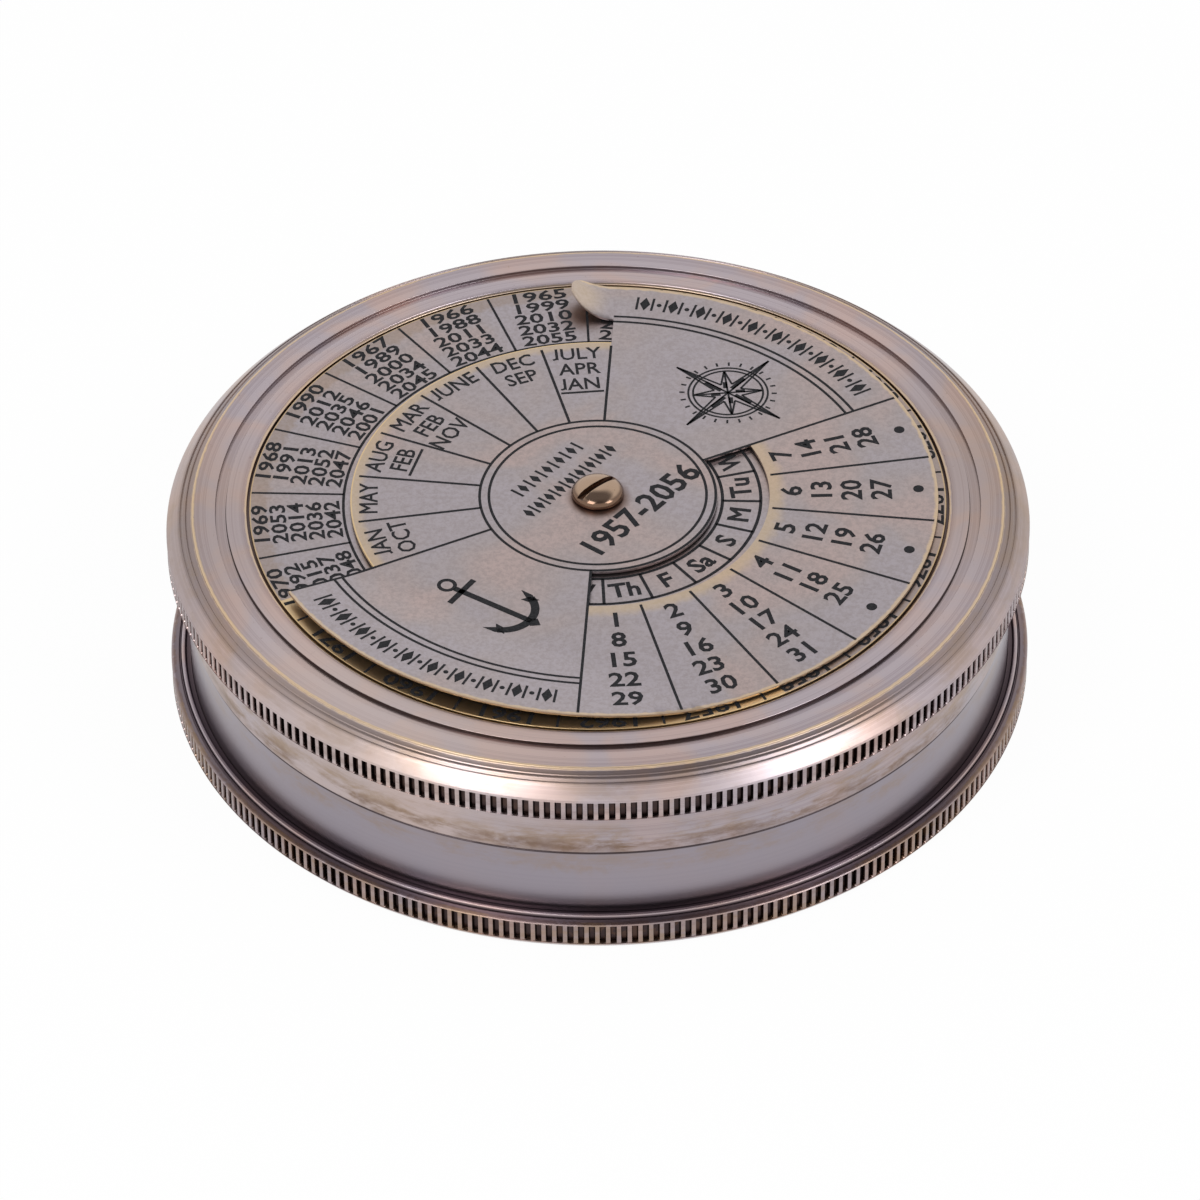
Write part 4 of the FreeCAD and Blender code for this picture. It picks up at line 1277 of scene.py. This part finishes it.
def curl_tab(obj):
    """Extrude the strip past the month sector's edge, curl it upward and round its end."""
    bend, sweep, round_end, inset, blunt = 6.3, 40.0, 4.4, 0.6, 1.3
    rows = 16
    centre = CALENDAR_RADIUS - inset
    tip = bend * math.sin(math.radians(sweep))
    rotated(obj, -MONTH_START, (0, 0, 0))
    edit(obj)

    def on_edge(point):
        return abs(point.y) < 0.02 and point.x > TAB_INNER

    pick("EDGE", on_edge)
    bpy.ops.mesh.subdivide(number_cuts=5)
    pick("EDGE", on_edge)
    along, lift = 0.0, 0.0
    first, last = TAB_INNER, CALENDAR_RADIUS
    for row in range(1, rows + 1):
        turn = math.radians(sweep * (1 - (1 - row / rows) ** 1.6))
        run, rise = bend * math.sin(turn), bend * (1 - math.cos(turn))
        bpy.ops.mesh.extrude_edges_move(TRANSFORM_OT_translate={"value": (0, run - along, rise - lift)})
        along, lift = run, rise
        half = math.sqrt(round_end ** 2 - min(run, round_end * 0.985) ** 2)
        past = max(0.0, min(run, tip * 0.995) - (tip - blunt))
        corner = blunt - math.sqrt(blunt ** 2 - past ** 2)
        outer = min(math.sqrt(CALENDAR_RADIUS ** 2 - run ** 2), centre + half) - corner * 0.9
        inner = min(centre - half, outer - 0.15)
        grow = (outer - inner) / (last - first)
        bpy.ops.transform.resize(value=(grow, 1, 1), center_override=(first, 0, 0))
        bpy.ops.transform.translate(value=(inner - first, 0, 0))
        first, last = inner, outer
    bpy.ops.mesh.select_all(action="SELECT")
    bpy.ops.mesh.normals_make_consistent(inside=False)
    leave()
    rotated(obj, MONTH_START, (0, 0, 0))


class CALENDAR_OT_calendar_disc(bpy.types.Operator):
    """Turning disc with months, dates, two picture sectors and its finger tab"""

    bl_idname = "desk_calendar.calendar_disc"
    bl_label = "Calendar disc"

    def execute(self, context):
        level = CALENDAR_TOP
        disc = sheet_with_sectors()
        curl_tab(disc)
        modified(disc, "SOLIDIFY", thickness=CALENDAR_THICKNESS, offset=-1.0)
        modified(
            disc, "BEVEL", width=mm(sizes().sheet_round), segments=2, limit_method="ANGLE",
            angle_limit=math.radians(50), use_clamp_overlap=False,
        )
        bent_up(disc)
        disc.name = "calendar_sheet"
        finished(disc, "calendar", "disc_brass", FINISHES["calendar"], "calendar_disc")
        marks = [arc(radius, level) for radius in HUB_RINGS]
        marks += self.months(level)
        marks += self.dates(level)
        marks += self.pictures(level)
        marks += self.centre(level)
        piece = bent_up(joined("calendar_marks", marks))
        finished(piece, "calendar", "disc_brass", FINISHES["fill"], smooth=0.0)
        return {"FINISHED"}

    def months(self, level):
        height = mm(sizes().month_text)
        marks = []
        for number, names in enumerate(MONTHS):
            start = MONTH_START + number * PITCH
            marks.append(spoke(HUB_EDGE, MONTH_RADIUS - 0.55, start, level))
            for row, name in enumerate(names):
                radius = MONTH_TEXT_RADIUS - row * MONTH_ROW
                angle = start + PITCH / 2
                text = name.rstrip("_")
                marks.append(label(text, height, radius, angle, level))
                if name.endswith("_"):
                    marks.append(underline(len(text) * height * 0.82, height, radius, angle, level))
        marks.append(spoke(HUB_EDGE, SPOKE_END, MONTH_END, level))
        return marks

    def dates(self, level):
        height = mm(sizes().date_text)
        marks = []
        for number in range(7):
            centre = DATE_START + (number + 0.5) * PITCH
            inner = HUB_EDGE if number == 0 else WINDOW_OUTER + 0.35
            marks.append(spoke(inner, SPOKE_END, DATE_START + number * PITCH, level))
            for row, day in enumerate(range(number + 1, 32, 7)):
                marks.append(label(
                    str(day), height, DATE_TEXT_RADIUS + row * DATE_ROW, centre, level,
                    outward=False, stretch=1.08, weight=0.022,
                ))
            if number > 2:
                marks.append(dot(DATE_DOT_RADIUS, centre, level, 0.5))
        marks.append(spoke(HUB_EDGE, SPOKE_END, DATE_END, level))
        return marks

    def pictures(self, level):
        marks = []
        for start in (DATE_END, MONTH_END):
            marks += [arc(radius, level, start, PICTURE_SWEEP) for radius in PICTURE_RINGS]
            marks += border(BORDER_RADIUS, start + 3, PICTURE_SWEEP - 6, level)
        marks += wind_star((12.4, 14.9), 50.3, level)
        marks += anchor((-9.6, -15.6), 56.0, level)
        return marks

    def centre(self, level):
        slant = 51.0
        marks = [label(
            f"{FIRST_YEAR}-{LAST_YEAR}", mm(sizes().span_text), 0, 0, level,
            turn=slant, place=(3.85, -2.3), weight=0.022, stretch=1.0,
        )]
        for offset, reach in ((3.3, 6.0), (6.0, 4.4)):
            marks += ornament(at(offset, slant + 90), slant, reach, level)
        return marks


class CALENDAR_OT_pivot(bpy.types.Operator):
    """Pivot screw with its washers and nut"""

    bl_idname = "desk_calendar.pivot"
    bl_label = "Pivot screw"

    def execute(self, context):
        low = bottom("pivot_screw")
        high = top("pivot_screw")
        shank = 1.5
        head = half_width("pivot_screw")
        seat = CALENDAR_TOP + 0.05
        edge = seat + 0.45
        dome = high - edge
        screw = turned("pivot_screw_turned", [
            (0, low), (shank - 0.2, low, 0.05), (shank, low + 0.2, 0.05), (shank, seat),
            (head - 0.12, seat, 0.04), (head, seat + 0.12, 0.05), (head, edge, 0.25),
            (head * 0.8, edge + dome * 0.6, 0.3), (head * 0.45, edge + dome * 0.92, 0.3), (0, high),
        ], 96)
        slot_width, slot_deep, slot_turn = 0.65, 1.3, 42.0
        bpy.ops.mesh.primitive_cube_add(size=1.0)
        slot = bpy.context.active_object
        slot.scale = (head * 2.4, slot_width, slot_deep)
        rotated(slot, slot_turn, (0, 0, high))
        modified(screw, "BOOLEAN", operation="DIFFERENCE", solver="EXACT", object=slot)
        bpy.data.objects.remove(slot)
        modified(screw, "BEVEL", width=0.05, segments=2, limit_method="ANGLE", angle_limit=math.radians(50))
        finished(screw, "lid", "inner_brass", FINISHES["screw"], "pivot_screw")
        for node, body in (("disc_washer", "lid"), ("nut_washer", "washer")):
            outer = half_width(node)
            washer = turned(node + "_turned", [
                (SCREW_HOLE, bottom(node), 0.05), (outer, bottom(node), 0.08),
                (outer, top(node), 0.08), (SCREW_HOLE, top(node), 0.05),
            ], 96)
            finished(washer, body, "inner_brass", FINISHES["bare"], node)
        self.nut()
        return {"FINISHED"}

    def nut(self):
        """Six sided nut with its corners turned off."""
        low, high = bottom("pivot_nut"), top("pivot_nut")
        flats = 2.75
        corner = flats / math.cos(math.pi / 6)
        bpy.ops.mesh.primitive_cylinder_add(vertices=6, radius=corner, depth=high - low)
        nut = bpy.context.active_object
        rotated(nut, 30.0 if node_box("pivot_nut")[1].x > corner - 0.05 else 0.0, (0, 0, (low + high) / 2))
        cone = turned("nut_cone", [
            (SCREW_HOLE + 0.02, low - 0.01), (flats - 0.1, low - 0.01), (corner + 0.05, low + 0.35),
            (corner + 0.05, high - 0.35), (flats - 0.1, high + 0.01), (SCREW_HOLE + 0.02, high + 0.01),
        ], 96)
        modified(nut, "BOOLEAN", operation="INTERSECT", solver="EXACT", object=cone)
        bpy.data.objects.remove(cone)
        nut.name = "pivot_nut_turned"
        finished(nut, "nut", "inner_brass", FINISHES["bare"], "pivot_nut")


class CALENDAR_OT_compass(bpy.types.Operator):
    """Compass in the case: dial, rings, glass, needle, cap, jewel and pin"""

    bl_idname = "desk_calendar.compass"
    bl_label = "Compass"

    def execute(self, context):
        self.dial()
        self.rings()
        self.needle()
        return {"FINISHED"}

    def dial(self):
        low, level = bottom("compass_dial"), top("compass_dial")
        disc = turned("dial_disc", [
            (0, low), (STACK_RADIUS, low), (STACK_RADIUS, level, 0.06), (0, level),
        ], 180)
        finished(disc, "case", "dial_metal", FINISHES["cream"], "compass_dial")
        outer, inner, middle_ring = 33.6, 30.6, 12.0
        marks = [
            arc(outer, level, width=0.2), arc(inner, level, width=0.12),
            arc(middle_ring, level, width=0.2),
        ]
        for number in range(72):
            foot = inner + 1.0 if number % 2 else inner
            marks.append(spoke(foot, outer, number * 5, level, 0.22))
        for number in range(12):
            angle = 90 - number * 30
            if number % 3:
                marks.append(label(str(number * 30), 2.0, 27.9, angle, level, weight=0.01))
            else:
                marks.append(label("NESW"[number // 3], 3.4, 27.6, angle, level, weight=0.03))
        for number in range(8):
            angle = number * 45
            reach = 24.0 if number % 2 == 0 else 17.0
            waist = 3.4
            left = at(waist, angle + 22.5)
            right = at(waist, angle - 22.5)
            tip = at(reach, angle)
            marks += [line(tip, end, 0.2, level) for end in (left, right, (0, 0))]
            for share in (0.15, 0.3, 0.45, 0.6, 0.75):
                edge = left + (tip - left) * (share + 0.05)
                marks.append(line(tip * share, edge, 0.12, level))
        piece = joined("dial_marks", marks)
        finished(piece, "case", "dial_metal", FINISHES["fill"], smooth=0.0)

    def rings(self):
        slit, ring_width = 1.2, 1.3
        gap = math.degrees(slit / STACK_RADIUS)
        inner = STACK_RADIUS - ring_width
        for node in ("spacer_ring", "snap_ring"):
            low, high = bottom(node), top(node)
            ring = turned(node + "_turned", [
                (inner, low, 0.08), (STACK_RADIUS, low, 0.08),
                (STACK_RADIUS, high, 0.08), (inner, high, 0.08),
            ], 180, 360 - gap, 90 + gap / 2)
            finished(ring, "case", "inner_brass", FINISHES["bare"], node)
        low, high = bottom("compass_glass"), top("compass_glass")
        glass = turned("glass_disc", [
            (0, low), (STACK_RADIUS, low, 0.15), (STACK_RADIUS, high, 0.25), (0, high),
        ], 180)
        finished(glass, "case", "glass", FINISHES["glass"], "compass_glass")

    def needle(self):
        corner_low, corner_high = node_box("compass_needle")
        low, high = corner_low.z, corner_high.z
        reach = (corner_high.y - corner_low.y) / 2
        north = self.blade("needle_north", 1, low, high, reach)
        finished(north, "needle", "needle_steel", FINISHES["red"], "compass_needle", smooth=10.0)
        south = self.blade("needle_south", -1, low, high, reach)
        finished(south, "needle", "needle_steel", FINISHES["blued"], smooth=10.0)
        jewel_low, jewel_top = bottom("hub_jewel"), top("hub_jewel")
        cap_top = top("needle_hub")
        cap = turned("needle_cap", [
            (0.95, jewel_low), (1.5, jewel_low, 0.05), (1.5, high), (2.4, high, 0.06),
            (2.2, high + 0.25, 0.15), (1.5, cap_top, 0.3), (0, cap_top), (0, jewel_top),
            (0.95, jewel_top),
        ], 64)
        finished(cap, "needle", "inner_brass", FINISHES["bare"], "needle_hub")
        jewel = turned("cap_jewel", [
            (0.6, jewel_low, 0.03), (0.9, jewel_low, 0.03), (0.9, jewel_top), (0, jewel_top),
            (0, jewel_low + 0.7),
        ], 48)
        finished(jewel, "needle", "jewel", FINISHES["ruby"], "hub_jewel")
        dial, tip = top("compass_dial"), top("pivot_pin")
        pin = turned("pivot_pin_turned", [(0, dial), (0.45, dial), (0.45, tip - 1.0, 0.1), (0, tip)], 48)
        finished(pin, "case", "steel", FINISHES["steel"], "pivot_pin")
        foot = turned("pin_foot_turned", [
            (0.47, dial), (2.2, dial, 0.08), (1.75, dial + 0.9, 0.15), (0.47, dial + 0.9, 0.05),
        ], 64)
        finished(foot, "case", "inner_brass", FINISHES["bare"], "pin_foot")

    def blade(self, name, side, low, high, reach):
        """Half of the needle: a long triangle that slopes away from the cap's neck to its edges."""
        half, neck, steps = 3.5, 1.55, 8
        edge, point = high - 0.12, high - 0.16
        path = [Vector((half, 0, edge)), Vector((0, side * reach, point)), Vector((-half, 0, edge))]
        for step in range(steps + 1):
            turn = math.pi * step / steps
            path.append(Vector((-neck * math.cos(turn), side * neck * math.sin(turn), high)))
        obj = outline(name, path)
        pick("VERT", near([path[0], path[-1]]))
        bpy.ops.mesh.edge_face_add()
        bpy.ops.mesh.select_all(action="SELECT")
        bpy.ops.mesh.edge_face_add()
        bpy.ops.mesh.quads_convert_to_tris()
        bpy.ops.mesh.extrude_region_move(TRANSFORM_OT_translate={"value": (0, 0, 0)})
        bpy.ops.transform.resize(value=(1, 1, 0), center_override=(0, 0, low))
        bpy.ops.mesh.select_all(action="SELECT")
        bpy.ops.mesh.normals_make_consistent(inside=False)
        leave()
        return obj


# Camera as it was fitted to the photo
TARGET = Vector((0.1, 0.0, 7.0)) * MM
CAMERA_ELEVATION = 40.29
CAMERA_DISTANCE = 609.7 * MM
CAMERA_LENS = 195.0
CAMERA_ROLL = 0.67
FLOOR_DEPTH = 0.1 * MM
FLOOR_WHITE = 0.96


def area_lamp(name, place, size, power):
    """A soft box that faces the object."""
    bpy.ops.object.light_add(type="AREA", location=place)
    lamp = bpy.context.active_object
    lamp.name = name
    lamp.data.shape = "RECTANGLE"
    lamp.data.size = lamp.data.size_y = size
    lamp.data.energy = power
    lamp.rotation_mode = "QUATERNION"
    lamp.rotation_quaternion = (Vector(place) - TARGET).to_track_quat("Z", "Y")


class CALENDAR_OT_stage(bpy.types.Operator):
    """Floor, soft light and the camera at the photo's angle"""

    bl_idname = "desk_calendar.stage"
    bl_label = "Stage"

    def execute(self, context):
        self.camera(context)
        self.floor()
        self.light(context)
        return {"FINISHED"}

    def camera(self, context):
        lift = math.radians(CAMERA_ELEVATION)
        back = Vector((0.0, -math.cos(lift), math.sin(lift)))
        bpy.ops.object.camera_add(location=TARGET + back * CAMERA_DISTANCE)
        camera = context.active_object
        camera.name = "camera"
        camera.data.lens = CAMERA_LENS
        camera.data.sensor_width = 36.0
        camera.data.clip_start = 0.01
        camera.data.clip_end = 20.0
        camera.rotation_mode = "QUATERNION"
        aim = back.to_track_quat("Z", "Y")
        roll = Matrix.Rotation(math.radians(-CAMERA_ROLL), 3, "Z").to_quaternion()
        camera.rotation_quaternion = aim @ roll
        context.scene.camera = camera

    def seen(self, wiring, path):
        """1 for what the camera sees, also through glass and in a shine, and 0 for what only lights."""
        seen = wiring.math("ADD", path["Is Camera Ray"], path["Is Glossy Ray"], clamp=True)
        return wiring.math("ADD", seen, path["Is Transmission Ray"], clamp=True)

    def floor(self):
        bpy.ops.mesh.primitive_plane_add(size=6.0, location=(0, 0, -FLOOR_DEPTH))
        floor = bpy.context.active_object
        floor.name = "floor"
        material = bpy.data.materials.new("white floor")
        material.use_nodes = True
        tree = material.node_tree
        tree.nodes.clear()
        wiring = Wiring(tree)
        path = wiring.node("LightPath").outputs
        seen = self.seen(wiring, path)
        lit = wiring.node("BsdfDiffuse", {"Color": (0.85, 0.85, 0.85, 1.0)}).outputs[0]
        white = wiring.node("Emission", {"Color": (1.0, 1.0, 1.0, 1.0), "Strength": 1.0}).outputs[0]
        share = wiring.math("MULTIPLY", seen, FLOOR_WHITE)
        mixed = wiring.node("MixShader", {0: share, 1: lit, 2: white}).outputs[0]
        wiring.node("OutputMaterial", {"Surface": mixed})
        floor.data.materials.append(material)

    def light(self, context):
        world = bpy.data.worlds.new("soft room")
        context.scene.world = world
        world.use_nodes = True
        tree = world.node_tree
        tree.nodes.clear()
        wiring = Wiring(tree)
        path = wiring.node("LightPath").outputs
        direction = wiring.node("TexCoord").outputs["Generated"]
        rise = wiring.node("SeparateXYZ", {0: direction}).outputs[2]
        dim = wiring.step(rise, 0.72, 0.9)
        sky = wiring.mix(dim, (1.0, 1.0, 1.0, 1.0), (0.22, 0.21, 0.22, 1.0))
        white = wiring.node("Background", {"Color": sky, "Strength": 1.0}).outputs[0]
        soft = wiring.node("Background", {"Color": (1.0, 1.0, 1.0, 1.0), "Strength": 0.7}).outputs[0]
        seen = self.seen(wiring, path)
        mixed = wiring.node("MixShader", {0: seen, 1: soft, 2: white}).outputs[0]
        wiring.node("OutputWorld", {"Surface": mixed})
        area_lamp("key soft box", (-0.35, -0.45, 0.75), 0.35, 2.5)
        area_lamp("fill soft box", (0.55, -0.35, 0.6), 0.3, 1.6)
        context.scene.view_settings.view_transform = "Standard"


class CALENDAR_PT_panel(bpy.types.Panel):
    """Lists the steps in the order in which they are made"""

    bl_idname = "CALENDAR_PT_panel"
    bl_label = "Desk calendar"
    bl_space_type = "VIEW_3D"
    bl_region_type = "UI"
    bl_category = "Calendar"

    def draw(self, context):
        for operator in OPERATORS:
            self.layout.operator(operator.bl_idname)
        for group in (context.scene.calendar_sizes, context.scene.calendar_finish):
            column = self.layout.column(align=True)
            for key in group.__annotations__:
                column.prop(group, key)


OPERATORS = (
    CALENDAR_OT_stage, CALENDAR_OT_base, CALENDAR_OT_wall, CALENDAR_OT_compass, CALENDAR_OT_lid,
    CALENDAR_OT_year_disc, CALENDAR_OT_calendar_disc, CALENDAR_OT_pivot,
)
CLASSES = (CalendarSizes, CalendarFinish, *OPERATORS, CALENDAR_PT_panel)


def register():
    for each in CLASSES:
        bpy.utils.register_class(each)
    bpy.types.Scene.calendar_sizes = PointerProperty(type=CalendarSizes)
    bpy.types.Scene.calendar_finish = PointerProperty(type=CalendarFinish)


def unregister():
    del bpy.types.Scene.calendar_finish
    del bpy.types.Scene.calendar_sizes
    for each in reversed(CLASSES):
        bpy.utils.unregister_class(each)


def main():
    """Build the whole calendar."""
    register()
    make_groups()
    make_finishes()
    bpy.ops.desk_calendar.stage()
    bpy.ops.desk_calendar.base_plate()
    bpy.ops.desk_calendar.case_wall()
    bpy.ops.desk_calendar.compass()
    bpy.ops.desk_calendar.lid()
    bpy.ops.desk_calendar.year_disc()
    bpy.ops.desk_calendar.calendar_disc()
    bpy.ops.desk_calendar.pivot()


if __name__ == "__main__":
    main()
